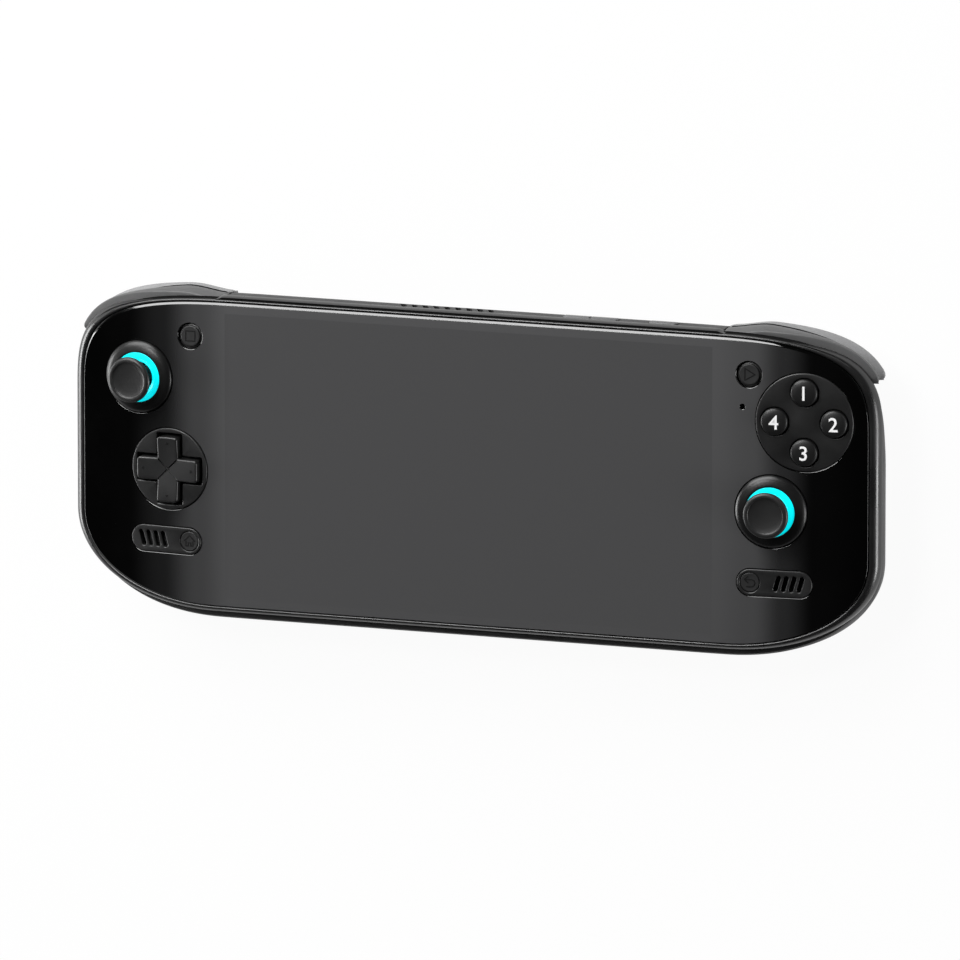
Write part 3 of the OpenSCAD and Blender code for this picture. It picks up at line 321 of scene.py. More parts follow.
def block(size, at, r=0.3, steps=3, matrix=None):
    """Box with rounded edges, its middle at the given place"""
    bm = bmesh.new()
    bmesh.ops.create_cube(bm, size=1.0)
    bmesh.ops.scale(bm, vec=size, verts=bm.verts)
    if r > 0:
        bmesh.ops.bevel(bm, geom=bm.edges[:], offset=r, segments=steps, profile=0.5, affect="EDGES")
    bmesh.ops.translate(bm, vec=at, verts=bm.verts)
    made = listed(bm)
    return moved(made, matrix) if matrix else made


def prism(loop, z0, z1):
    n = len(loop)
    verts = [(x, y, z0) for x, y in loop] + [(x, y, z1) for x, y in loop]
    faces = [tuple(range(n - 1, -1, -1)), tuple(range(n, 2 * n))]
    faces += [(i, (i + 1) % n, n + (i + 1) % n, n + i) for i in range(n)]
    return verts, faces


def tube(r_out, r_in, z0, z1, edge=0.15, segs=48):
    return lathe(fillet([(r_in, z0), (r_out, z0), (r_out, z1), (r_in, z1)], edge, 2, True), segs, True)


def mesh_of(name, parts):
    bm = bmesh.new()
    for verts, faces in parts:
        made = [bm.verts.new(Vector(v) * MM) for v in verts]
        for f in faces:
            if len(set(f)) > 2:
                bm.faces.new([made[i] for i in f])
    bmesh.ops.remove_doubles(bm, verts=bm.verts, dist=2e-7)
    bmesh.ops.dissolve_degenerate(bm, edges=bm.edges, dist=1e-8)
    bmesh.ops.recalc_face_normals(bm, faces=bm.faces)
    mesh = bpy.data.meshes.new(name)
    bm.to_mesh(mesh)
    bm.free()
    return mesh


def piece(name, parts, material, body="console", nodes=(), angle=35, cuts=None):
    obj = bpy.data.objects.new(name, mesh_of(name, parts))
    scene.collection.objects.link(obj)
    if cuts:
        tool = bpy.data.objects.new(name + "_cut", mesh_of(name + "_cut", cuts))
        scene.collection.objects.link(tool)
        mod = obj.modifiers.new("cut", "BOOLEAN")
        mod.operation = "DIFFERENCE"
        mod.solver = "MANIFOLD"
        mod.object = tool
        made = bpy.data.meshes.new_from_object(obj.evaluated_get(bpy.context.evaluated_depsgraph_get()))
        obj.modifiers.clear()
        obj.data = made
        bpy.data.objects.remove(tool)
    obj.data.materials.clear()
    obj.data.materials.append(material)
    obj.data.shade_smooth()
    obj.data.set_sharp_from_angle(angle=math.radians(angle))
    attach(obj, body)
    if nodes:
        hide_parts(*nodes)
    return obj


# Materials
def material(name, base, rough, grain=900.0, depth=0.03, metal=0.0, spec=0.5, vary=0.18, glow=None):
    """Moulded or coated surface: fine grain in the bump, broad changes in colour and roughness"""
    m = bpy.data.materials.new(name)
    m.use_nodes = True
    tree = m.node_tree
    shader = tree.nodes["Principled BSDF"]
    place = tree.nodes.new("ShaderNodeTexCoord")

    def noise(scale, detail, roughness=0.55):
        n = tree.nodes.new("ShaderNodeTexNoise")
        n.inputs["Scale"].default_value = scale
        n.inputs["Detail"].default_value = detail
        n.inputs["Roughness"].default_value = roughness
        tree.links.new(place.outputs["Object"], n.inputs["Vector"])
        return n

    broad, fine = noise(70.0, 4.0), noise(grain, 3.0, 0.7)
    both = tree.nodes.new("ShaderNodeMath")
    both.operation = "MULTIPLY_ADD"
    both.inputs[1].default_value = 0.5
    tree.links.new(fine.outputs["Fac"], both.inputs[0])
    half = tree.nodes.new("ShaderNodeMath")
    half.operation = "MULTIPLY"
    half.inputs[1].default_value = 0.5
    tree.links.new(broad.outputs["Fac"], half.inputs[0])
    tree.links.new(half.outputs[0], both.inputs[2])
    ramp = tree.nodes.new("ShaderNodeValToRGB")
    ramp.color_ramp.elements[0].position = 0.3
    ramp.color_ramp.elements[1].position = 0.7
    ramp.color_ramp.elements[0].color = [c * (1 - vary) for c in base] + [1]
    ramp.color_ramp.elements[1].color = [c * (1 + vary) for c in base] + [1]
    tree.links.new(both.outputs[0], ramp.inputs["Fac"])
    tree.links.new(ramp.outputs["Color"], shader.inputs["Base Color"])
    span = tree.nodes.new("ShaderNodeMapRange")
    span.inputs["From Min"].default_value = 0.3
    span.inputs["From Max"].default_value = 0.7
    span.inputs["To Min"].default_value = max(rough - 0.07, 0.02)
    span.inputs["To Max"].default_value = min(rough + 0.07, 1.0)
    tree.links.new(broad.outputs["Fac"], span.inputs["Value"])
    tree.links.new(span.outputs["Result"], shader.inputs["Roughness"])
    bump = tree.nodes.new("ShaderNodeBump")
    bump.inputs["Strength"].default_value = 0.5
    bump.inputs["Distance"].default_value = depth * MM
    tree.links.new(fine.outputs["Fac"], bump.inputs["Height"])
    tree.links.new(bump.outputs["Normal"], shader.inputs["Normal"])
    shader.inputs["Metallic"].default_value = metal
    shader.inputs["Specular IOR Level"].default_value = spec
    if glow:
        shader.inputs["Emission Color"].default_value = glow[:3] + (1,)
        shader.inputs["Emission Strength"].default_value = glow[3]
    return m


def grey(v):
    return (v, v, v * 1.01)


shell_mat = material("shell_black", grey(0.016), 0.52, 2600, 0.10, spec=0.4, vary=0.3)
rim_mat = material("rim_metal", grey(0.011), 0.3, 1800, 0.02, metal=0.2, spec=0.8)
# Near-black material that stands for shade: painted shade in the rim's groove, above the bumpers and on the trigger's
# shaded front
shade_liner_mat = material("painted_shade_black", grey(0.002), 0.8, 1500, 0.02, spec=0.1)
bumper_mat = material("bumper_grey", grey(0.07), 0.5, 2200, 0.03)
trigger_mat = material("trigger_grey", grey(0.2), 0.5, 2400, 0.05)
key_mat = material("key_grey", grey(0.07), 0.4, 2000, 0.03)
bezel_mat = material("bezel_black", grey(0.006), 0.32, 1500, 0.01, spec=0.35)
plate_mat = material("plate_black", grey(0.012), 0.36, 1800, 0.02)
cap_mat = material("cap_rubber", grey(0.010), 0.42, 1600, 0.04)
cross_mat = material("cross_black", grey(0.010), 0.34, 1800, 0.03)
button_mat = material("button_black", grey(0.006), 0.42, 1800, 0.02, spec=0.4)
small_mat = material("small_black", grey(0.018), 0.4, 1800, 0.02)
mark_mat = material("mark_white", (0.86, 0.86, 0.86), 0.5, 2000, 0.01, vary=0.04)
icon_mat = material("icon_black", grey(0.002), 0.7, 2000, 0.01, spec=0.2)
light_mat = material("light_cyan", (0.0, 0.62, 0.68), 0.35, 900, 0.01, vary=0.05,
                     glow=(0.0, 0.78, 0.86, 0.8))
steel_mat = material("steel", (0.5, 0.5, 0.52), 0.3, 3000, 0.01, metal=1.0, vary=0.1)
inner_mat = material("inner_plastic", grey(0.03), 0.55, 1500, 0.05)
silicone_mat = material("silicone", grey(0.12), 0.7, 1500, 0.04)
board_mat = material("board_green", (0.01, 0.07, 0.035), 0.4, 700, 0.03)
battery_mat = material("battery_foil", grey(0.2), 0.35, 300, 0.05, metal=0.5)
copper_mat = material("copper", (0.55, 0.26, 0.14), 0.3, 1200, 0.02, metal=1.0)
mesh_mat = material("speaker_mesh", grey(0.02), 0.6, 5000, 0.2)


# Grey of the glass along X, in millimetres, and half the size of the screen in metres; the grey is partly the
# screen's own and partly a painted reflection, which fades to black on the bent ends
GLASS_STOPS = [(-104, 0.0002), (-94, 0.0006), (-84, 0.008), (-74, 0.04), (-64, 0.066),
               (66, 0.066), (77, 0.055), (85, 0.018), (93, 0.0012), (107, 0.0002)]
STOP_SPAN = 110
SCREEN_HALF = (0.0664, 0.03735)


def glass_material():
    """Dark cover glass: grey over the screen, black on the bent ends and edges, with a faint screen edge. The grey
    holds a painted reflection that fades out towards the bent ends, and around the screen it is lighter towards the
    top as painted reflection
    """
    m = material("cover_glass", grey(0.02), 0.07, 60, 0.0)
    tree = m.node_tree
    shader = tree.nodes["Principled BSDF"]
    for link in list(shader.inputs["Normal"].links) + list(shader.inputs["Base Color"].links):
        tree.links.remove(link)
    place = next(n for n in tree.nodes if n.type == "TEX_COORD")
    parts = tree.nodes.new("ShaderNodeSeparateXYZ")
    tree.links.new(place.outputs["Object"], parts.inputs[0])

    def math_node(op, a, b=None, c=None):
        n = tree.nodes.new("ShaderNodeMath")
        n.operation = op
        for k, v in enumerate((a, b, c)):
            if v is None:
                continue
            if isinstance(v, (int, float)):
                n.inputs[k].default_value = v
            else:
                tree.links.new(v, n.inputs[k])
        return n.outputs[0]

    x, y = parts.outputs["X"], parts.outputs["Y"]
    ramp = tree.nodes.new("ShaderNodeValToRGB")
    ramp.color_ramp.interpolation = "EASE"
    span = tree.nodes.new("ShaderNodeMapRange")
    span.inputs["From Min"].default_value = -STOP_SPAN * MM
    span.inputs["From Max"].default_value = STOP_SPAN * MM
    tree.links.new(x, span.inputs["Value"])
    tree.links.new(span.outputs["Result"], ramp.inputs["Fac"])
    marks = ramp.color_ramp.elements
    while len(marks) < len(GLASS_STOPS):
        marks.new(0.5)
    for mark, (at, v) in zip(marks, GLASS_STOPS):
        mark.position = (at + STOP_SPAN) / (2 * STOP_SPAN)
    for mark, (at, v) in zip(marks, GLASS_STOPS):
        mark.color = (v, v, v * 1.02, 1)
    inside = math_node("MULTIPLY",
                       math_node("LESS_THAN", math_node("ABSOLUTE", x), SCREEN_HALF[0]),
                       math_node("LESS_THAN", math_node("ABSOLUTE", y), SCREEN_HALF[1]))
    # Painted reflection: the glass around the screen grows lighter towards the top
    rise = math_node("MULTIPLY_ADD", y, 1.9, 1.06)
    level = tree.nodes.new("ShaderNodeMix")
    level.data_type = "FLOAT"
    tree.links.new(inside, level.inputs["Factor"])
    tree.links.new(rise, level.inputs[2])
    level.inputs[3].default_value = 0.96
    scale = tree.nodes.new("ShaderNodeVectorMath")
    scale.operation = "SCALE"
    tree.links.new(ramp.outputs["Color"], scale.inputs[0])
    tree.links.new(level.outputs[0], scale.inputs["Scale"])
    facing = tree.nodes.new("ShaderNodeNewGeometry")
    slope = tree.nodes.new("ShaderNodeSeparateXYZ")
    tree.links.new(facing.outputs["Normal"], slope.inputs[0])
    edge = tree.nodes.new("ShaderNodeMix")
    edge.data_type = "RGBA"
    tree.links.new(math_node("LESS_THAN", slope.outputs["Z"], 0.95), edge.inputs["Factor"])
    tree.links.new(scale.outputs[0], edge.inputs["A"])
    edge.inputs["B"].default_value = (0.001, 0.001, 0.001, 1)
    tree.links.new(edge.outputs["Result"], shader.inputs["Base Color"])
    shader.inputs["Specular IOR Level"].default_value = 0.8
    return m


glass_mat = glass_material()

# Front glass
STRIPS = [s * x for x in [FLAT + 2.0 * k for k in range(24)] for s in (1, -1)]


def front_circle(x, y, r, segs=96):
    return circle(x, y, r, segs, math.cos(tilt(x)))


def front_stadium(x, y, w, h):
    return stadium(x, y, w, h, sx=math.cos(tilt(x)))


glass_holes = [front_circle(-UPPER[0], UPPER[1], 9.55), front_circle(LOWER[0], LOWER[1], 9.55),
               front_circle(-LOWER[0], LOWER[1], 10.75), front_circle(UPPER[0], UPPER[1], 12.85),
               front_circle(-SMALL[0], SMALL[1], 3.4, 64), front_circle(SMALL[0], SMALL[1], 3.4, 64),
               front_circle(MIC[0], MIC[1], MIC_R, 24),
               front_stadium(-POD[0], POD[1], 20.0, 7.1), front_stadium(POD[0], POD[1], 20.0, 7.1)]
# Bevel of the glass: insets and depths
GLASS_EDGE = [(0.0, 0.42), (0.03, 0.35), (0.09, 0.3), (0.54, 0.035), (0.6, 0.008), (0.66, 0.0)]
glass_part = bent(plate(outline(0), glass_holes, 0, -1.0, 0.3, steps=5, strips=STRIPS, bevel=GLASS_EDGE))
glass = piece("glass_cover", [glass_part], glass_mat, nodes=["front_glass"], angle=50)


def even_front(obj):
    """Exact normals on the faces of the bent front, so that reflections run smoothly over them"""
    mesh = obj.data
    normals = []
    for face in mesh.polygons:
        for i in face.vertices:
            t = tilt(mesh.vertices[i].co.x / MM)
            n = Vector((math.sin(t), 0, math.cos(t)))
            normals.append(n if face.normal.dot(n) > 0.985 else Vector((0, 0, 0)))
    mesh.normals_split_custom_set(normals)


even_front(glass)


# Rim of the mid frame with a near-black liner of painted shade in its groove and above the bumpers, the frame's plate
# and the screw posts
# Section points: growth and depth along the top, where the rim has a groove, then growth and depth elsewhere
RIM = [(0.15, 1.05, 0.15, 1.05), (0.15, 0.5, 0.15, 0.5), (0.18, 0.38, 0.19, 0.38), (0.24, 0.3, 0.26, 0.3),
       (0.34, 0.245, 0.4, 0.235), (0.45, 0.22, 0.55, 0.22), (0.56, 0.25, 0.68, 0.25), (0.66, 0.32, 0.8, 0.31),
       (0.72, 0.42, 0.92, 0.4), (0.745, 0.55, 1.0, 0.465), (0.76, 1.15, 1.06, 0.52), (1.22, 1.15, 1.13, 0.59),
       (1.25, 0.86, 1.2, 0.67), (1.29, 0.8, 1.28, 0.78), (1.36, 0.9, 1.36, 0.92), (1.44, 1.1, 1.44, 1.1),
       (1.58, 1.5, 1.56, 1.45), (1.65, 1.85, 1.645, 1.82), (1.71, 2.2, 1.71, 2.2), (1.74, 2.5, 1.74, 2.5),
       (1.75, 2.72, 1.75, 2.72), (1.7, 2.84, 1.7, 2.84), (1.58, 2.9, 1.58, 2.9), (-0.35, 2.9, -0.35, 2.9),
       (-1.2, 2.9, -1.2, 2.9), (-1.2, 1.05, -1.2, 1.05)]
# Painted shade: a near-black liner filling the rim's groove along the top and, where the bumpers pass, the gap down
# to them; same columns as the rim's section
SHADE_LINER = [(0.6, 0.95, 0.5, 1.6), (0.78, 0.93, 0.6, 1.6), (1.2, 0.98, 0.8, 1.7),
          (1.22, 1.3, 0.8, 2.0), (0.6, 1.3, 0.5, 2.0)]
SLIM = 0.76
SLIM_SHADE_LINER = [(0.2, 0.9), (SLIM + 0.01, 0.9), (SLIM + 0.06, 2.6), (1.15, 2.8), (0.2, 2.95)]


def slim_share(x, y):
    """1 where the bumpers pass the rim, falling to 0 towards the ends"""
    if y <= 0:
        return 0.0
    return smooth(SHOULDER_IN - 0.4, SHOULDER_IN + 0.6, abs(x)) * (1 - smooth(84, 101, abs(x)))


def rim_ring(long, end, slim):
    ring = []
    for p, q in zip(outline(0), outline(1)):
        f, g = slim_share(*p), smooth(0.55, 0.9, (q[1] - p[1]) / math.dist(p, q))
        o, d = (lerp(lerp(end[k], long[k], g), slim[k], f) for k in (0, 1))
        x = (p[0] + o * (q[0] - p[0])) * (1 + RIM_SIDE * max(o, 0.0) / HALF_W)
        ring.append((x, p[1] + o * (q[1] - p[1]), surf(x) - d))
    return ring


rim_rings = [rim_ring(r[:2], r[2:], (min(r[0], SLIM), r[1])) for r in RIM]
shade_liner_rings = [rim_ring(r[:2], r[2:], q) for r, q in zip(SHADE_LINER, SLIM_SHADE_LINER)]
# Painted shade: the near-black liner in the groove and in the gap above the bumpers
piece("frame_shade_liner", [loft(shade_liner_rings, close=True)], shade_liner_mat)
plate_holes = [rectangle(-UPPER[0], UPPER[1], 12.8, 12.8), rectangle(LOWER[0], LOWER[1], 12.8, 12.8),
               front_circle(-LOWER[0] + 0.3, LOWER[1], 9.9, 64), front_circle(UPPER[0] - 0.45, UPPER[1], 12.05, 64),
               front_circle(-SMALL[0], SMALL[1], 1.9, 32), front_circle(SMALL[0], SMALL[1], 1.9, 32),
               front_circle(MIC[0], MIC[1], MIC_R, 24)]
for s in (-1, 1):
    plate_holes.append(front_circle(s * POD[0] - s * CAPSULE_BUTTON, POD[1], 1.9, 32))
    plate_holes.append(rectangle(s * (POD[0] + CAPSULE_SLOTS), POD[1], 9.0, 5.2))
frame_plate = bent(plate(outline(-4.2), plate_holes, -PLATE_TOP - 0.1, -PLATE_LOW + 0.1, 0.1, steps=1,
                         strips=STRIPS))
posts = []
for x, y in SCREWS:
    posts.append(moved(tube(2.4, 0.88, FRONT_Z - 12.6, FRONT_Z - 4.0), shift(x, y)))
piece("frame_rim", [loft(rim_rings, close=True), frame_plate] + posts, rim_mat, nodes=["mid_frame"],
      angle=40)

# Rear shell: growth of each ring and its rise from the deepest point, in the middle and at the grips
GROW = [1.75, 2.25, 2.55, 1.3, -1.2, -4.2, -8, -12, -19, -27, -34]
FLAT_RISE = [0, 0, 4.9, 2.5, 0.8, 0.1, 0, 0, 0, 0, 0]
GRIP_RISE = [0, 0, 10, 5.5, 2.2, 0.2, -0.6, -0.9, -0.9, -0.9, -0.9]
BACK_D, GRIP_D, WALL = 14.5, 21.0, 1.8


def grip_at(x, y):
    return smooth(66, 86, abs(x)) * (1 - smooth(6, 30, y))


def shell_ring(k, inset):
    ring = []
    for x, y in widened(GROW[k] - inset, SHELL_SIDE, -DROP):
        if k < 2:
            d = sag(x) + RIM_D + 0.1 + 1.5 * k
        else:
            d = lerp(BACK_D - FLAT_RISE[k], GRIP_D - GRIP_RISE[k], grip_at(x, y))
            d = min(d, GRIP_D + (0 if inset else 2)) - inset
        ring.append((x, y, FRONT_Z - d))
    return ring


def finer(rings, steps):
    columns = [spline([r[i] for r in rings], steps) for i in range(len(rings[0]))]
    return [[c[j] for c in columns] for j in range(len(columns[0]))]


outer = [shell_ring(k, 0) for k in range(len(GROW))]
lip = [[(x, y, surf(x) - RIM_D - 0.1) for x, y in widened(1.45, SHELL_SIDE, -DROP)],
       [(x, y, surf(x) - RIM_D - 0.18) for x, y in widened(1.67, SHELL_SIDE, -DROP)]]
outer[0] = [(x, y, surf(x) - RIM_D - 0.4) for x, y in widened(1.78, SHELL_SIDE, -DROP)]
outer = finer(outer, 4)
outer = [[(x, y, max(z, 0.0)) for x, y, z in r] for r in outer]
inner = [[(x, y, max(z, WALL)) for x, y, z in shell_ring(k, WALL)] for k in range(len(GROW))]


def cap(ring):
    bm = bmesh.new()
    vs = [bm.verts.new(p) for p in ring]
    es = [bm.edges.new((vs[i], vs[(i + 1) % len(vs)])) for i in range(len(vs))]
    bmesh.ops.triangle_fill(bm, use_beauty=True, use_dissolve=False, edges=es, normal=(0, 0, 1))
    return listed(bm)


# Chord of the shoulder corner and its frame
def t_at_x(o, x):
    return math.acos(((x - HALF_W + TOP_CORNER[0]) / (TOP_CORNER[0] + o)) ** (TOP_CORNER[2] / 2))


def t_at_y(o, y):
    return math.asin(((y - GLASS_Y - HALF_H + TOP_CORNER[1]) / (TOP_CORNER[1] + o)) ** (TOP_CORNER[2] / 2))


chord_a = corner(-1, t_at_x(-1, SHOULDER_IN), True)
chord_b = corner(-1, t_at_y(-1, SHOULDER_LOW), True)
CHORD_LEN = math.dist(chord_a, chord_b)
TURN = math.atan2(chord_b[1] - chord_a[1], chord_b[0] - chord_a[0])
chord = Matrix.Translation((chord_a[0], GLASS_Y + chord_a[1], 0)) @ Matrix.Rotation(TURN, 4, "Z")
chord_back = chord.inverted()


def line_at(h, x=None, y=None):
    """Point of the line at height h over the chord, at a given x or y"""
    p, u = chord @ Vector((0, h, 0)), chord.to_3x3() @ Vector((1, 0, 0))
    s = (x - p.x) / u.x if x is not None else (y - p.y) / u.y
    return (p.x + u.x * s, p.y + u.y * s)


room_a, room_b = line_at(-2.5, x=SHOULDER_IN), line_at(-2.5, y=SHOULDER_LOW)
room = prism([room_a, room_b, (125, SHOULDER_LOW), (125, 60), (SHOULDER_IN, 60)], -10, 40)
cuts = [room, mirrored(room)]
VENT_X, VENT_PITCH, VENT_D = -8.5, 2.98, 8.3
for i in range(9):
    x = VENT_X + (i - 4) * VENT_PITCH
    slot_box = prism(stadium(0, 0, 4.4, 1.3), -4, 4)
    lean = shift(x, WALL_TOP, FRONT_Z - VENT_D) @ Matrix.Rotation(math.radians(28), 4, "Y")
    cuts.append(moved(slot_box, lean @ LAID @ Matrix.Rotation(math.radians(90), 4, "Z")))
for x, w in (VOLUME_KEY, POWER_KEY):
    window = prism(rectangle(0, 0, w + 0.5, 2.9, 0.5), -4, 4)
    cuts.append(moved(window, shift(x, WALL_TOP, FRONT_Z - KEY_D) @ LAID))
socket = prism(stadium(0, 0, 9.34, 3.6), -4, 4)
cuts.append(moved(socket, shift(0, WALL_LOW, FRONT_Z - 8.8) @ LAID))
for x, y in SCREWS:
    well = lathe([(0, -1.0), (2.05, -1.0), (2.05, 1.0), (1.05, 1.0), (1.05, 6.0), (0, 6.0)], 40)
    cuts.append(moved(well, shift(x, y, FRONT_Z - BACK_D)))
for i in range(7):
    cuts.append(moved(prism(stadium(0, 0, 18, 1.4, math.pi / 2), -4, 4),
                      shift(-9 + (i - 3) * 2.8, 16.65, FRONT_Z - BACK_D)))
shell_wall = loft(list(reversed(inner)) + lip + outer)
piece("shell_tub", [shell_wall, cap(inner[-1]), cap(outer[-1])], shell_mat, nodes=["rear_shell"],
      angle=38, cuts=cuts)

# Walls of the shell behind the shoulders, with the blocks of the trigger pins
low_z, top_z = FRONT_Z - 13.0, FRONT_Z - 10.8
wall_h, wall_z, long_wall = top_z - low_z, (low_z + top_z) / 2, CHORD_LEN - 4.6
walls = []
for part in (block((long_wall, 1.2, wall_h), (long_wall / 2 + 0.6, -3.1, wall_z), 0.15, 2, chord),
             block((1.2, 4.4, wall_h), (SHOULDER_IN - 0.6, 35.5, wall_z), 0.15, 2),
             block((9.5, 1.2, wall_h), (chord_b[0] - 5.1, SHOULDER_LOW - 0.6, wall_z), 0.15, 2)):
    walls += [part, mirrored(part)]
for s in (3.5, CHORD_LEN - 12):
    part = block((2.5, 4.0, 3.0), (s + 1.25, -0.9, FRONT_Z - 11.6), 0.3, 2, chord)
    walls += [part, mirrored(part)]
for s in (-1, 1):
    walls.append(moved(tube(1.5, 0.5, low_z, FRONT_Z - 11.4, 0.1, 24), shift(s * 9, -36.3)))
piece("shell_walls", walls, inner_mat)


# Bumpers and triggers along the upper corners
FLARE, TAPER = 2.6, 1.7


def swell(t, share):
    """Growth along a shoulder: it sinks at the inner end and swells at the outer end"""
    x = corner(0, t, True)[0]
    return (share * FLARE * smooth(HALF_W - 35, HALF_W - 3, x)
            - TAPER * (1 - smooth(SHOULDER_IN, SHOULDER_IN + 11, x)))


def corner_line(o, x0, y1, share=0.0, count=500):
    """Line along the upper corner from x0 to y1"""
    pts = []
    for i in range(count + 1):
        t = math.radians(lerp(89.8, 1.0, i / count))
        x, y = corner(o + (swell(t, share) if share else 0.0), t, True)
        pts.append((x, y + GLASS_Y))
    line = []
    for p, q in zip(pts, pts[1:]):
        if not line and q[0] >= x0:
            line.append((x0, lerp(p[1], q[1], (x0 - p[0]) / (q[0] - p[0]))))
        if line and q[1] <= y1:
            return line + [(lerp(p[0], q[0], (y1 - p[1]) / (q[1] - p[1])), y1)]
        if line:
            line.append(q)
    return line


def along(line, share):
    run = [0.0]
    for p, q in zip(line, line[1:]):
        run.append(run[-1] + math.dist(p, q))
    want = run[-1] * share
    k = next((i for i in range(len(line) - 1) if run[i + 1] >= want), len(line) - 2)
    f = (want - run[k]) / max(run[k + 1] - run[k], 1e-9)
    return (lerp(line[k][0], line[k + 1][0], f), lerp(line[k][1], line[k + 1][1], f))


IN_X, OUT_Y = SHOULDER_IN + 0.35, SHOULDER_LOW + 1.8


def bar(lines, depth, edge_in, edge_out, length=41.0, count=72):
    """Bar of sections between an inner and an outer end, both rounded; depth gives z at a section point"""
    def ends(edge):
        turns = [math.pi / 2 * k / 6 for k in range(6, -1, -1)]
        return [(edge * (1 - math.sin(a)), edge * (1 - math.cos(a))) for a in turns]

    first = [(d / length, inset) for d, inset in ends(edge_in)]
    last = [(1 - d / length, inset) for d, inset in reversed(ends(edge_out))]
    marks = first + [(lerp(first[-1][0], last[0][0], i / count), 0.0) for i in range(1, count)] + last
    rings = []
    for share, inset in marks:
        ring = []
        for j, line in enumerate(lines):
            x, y = along(line, share)
            ring.append(Vector((x, y, depth(j, x))))
        if inset > 0:
            mid = sum(ring, Vector()) / len(ring)
            ring = [p + (mid - p).normalized() * min(inset, (mid - p).length * 0.5) for p in ring]
        rings.append([tuple(p) for p in ring])
    n = len(lines)
    verts, faces = loft(rings)
    faces.append(tuple(range(n - 1, -1, -1)))
    faces.append(tuple(range(len(verts) - n, len(verts))))
    return verts, faces


# Section of the bumper as growth and depth; its share of the flare falls with the depth
SH, BUMPER_D = SHOULDER_OUT, 4.7
bumper_side = spline([(SH - 1.5, 0.0), (SH - 0.98, 0.08), (SH - 0.68, 0.4), (SH - 0.28, 1.1), (SH + 0.15, 2.3),
                      (SH + 0.34, 3.5), (SH + 0.36, 4.2)], 4)
bumper_line = (fillet([(-2.8, BUMPER_D), (-2.8, 0), (SH - 1.6, 0)], 0.1, 2)[:-1] + bumper_side
               + [(SH + 0.3, 4.5), (SH, BUMPER_D)])
bumper_lines = [corner_line(o, IN_X, OUT_Y, 0.8 - 1.2 * d / BUMPER_D if o > 0 else 0.0) for o, d in bumper_line]


def bumper_depth(j, x):
    return surf(x) - BUMPER_TOP - bumper_line[j][1]


bumper_part = bar(bumper_lines, bumper_depth, 1.0, 2.0)
PIN_X, PIN_IN = 71.0, -0.7
pin_y = GLASS_Y + corner(PIN_IN, t_at_x(PIN_IN, PIN_X), True)[1]
pin_cut = moved(lathe([(0, -12), (0.85, -12), (0.85, 12), (0, 12)], 32), shift(PIN_X, pin_y, FRONT_Z - 5))
for side, flip in FLIPS:
    body = side + "_bumper"
    piece(body + "_cap", [flip(bumper_part)], bumper_mat, body, [body], angle=40, cuts=[flip(pin_cut)])

# Section of the trigger as growth, share of the depth and share of the flare, then its inner side over the chord
Z_BACK, Z_LIP = FRONT_Z - 16.4, FRONT_Z - 14.7
trigger_side = spline([(SH + 0.5, 0.03, -0.28), (SH + 0.49, 0.12, -0.05), (SH + 0.46, 0.27, 0.25),
                       (SH + 0.15, 0.55, 0.3), (SH - 0.8, 0.82, 0.3), (SH - 2.3, 0.97, 0.3), (SH - 4.2, 1.0, 0.3)], 4)
trigger_line = [(SH - 0.4, 0.0, -0.35), (SH + 0.4, 0.003, -0.35), (SH + 0.48, 0.012, -0.33)] + trigger_side
inner_line = [(-0.7, "back"), (-0.7, "lip"), (1.9, "lip"), (1.9, "front")]


def trigger_lines():
    lines = []
    for o, share, flare in trigger_line:
        line = []
        for x, y in corner_line(o, IN_X, OUT_Y, flare):
            z = lerp(surf(x) - TRIGGER_TOP, Z_BACK, share)
            p = chord_back @ Vector((x, y, 0))
            p.y = max(p.y, -0.65 if z <= Z_LIP else 1.95)
            q = chord @ p
            line.append((q.x, q.y))
        lines.append(line)
    for h, _ in inner_line:
        lines.append([line_at(h, x=IN_X), line_at(h, y=OUT_Y)])
    return lines


def trigger_depth(j, x):
    if j < len(trigger_line):
        return lerp(surf(x) - TRIGGER_TOP, Z_BACK, trigger_line[j][1])
    at = inner_line[j - len(trigger_line)][1]
    return Z_BACK if at == "back" else Z_LIP if at == "lip" else surf(x) - TRIGGER_TOP


# Painted shade: the front face, which the bumper shades, takes the near-black liner material down to this depth
DARK_D = 0.07
trigger_part = bar(trigger_lines(), trigger_depth, 1.0, 2.4)
ears = []
for e in (9.0, CHORD_LEN - 15):
    ear_turn = shift(e, -0.2, FRONT_Z - 11.6) @ Matrix.Rotation(math.pi / 2, 4, "Y")
    ears.append(moved(moved(tube(1.7, 0.85, 0, 2.5, 0.15, 40), ear_turn), chord))
    ears.append(block((2.5, 2.2, 1.9), (e + 1.25, 1.4, FRONT_Z - 12.3), 0.15, 2, chord))
for side, flip in FLIPS:
    body = side + "_trigger"
    trigger = piece(body + "_cap", [flip(p) for p in [trigger_part] + ears], trigger_mat, body, [body],
                    angle=40)
    # Painted shade: the trigger's front faces near the top get the near-black liner material
    trigger.data.materials.append(shade_liner_mat)
    for face in trigger.data.polygons:
        if face.normal.z > 0.5 and face.center.z > (surf(face.center.x / MM) - TRIGGER_TOP - DARK_D) * MM:
            face.material_index = 1

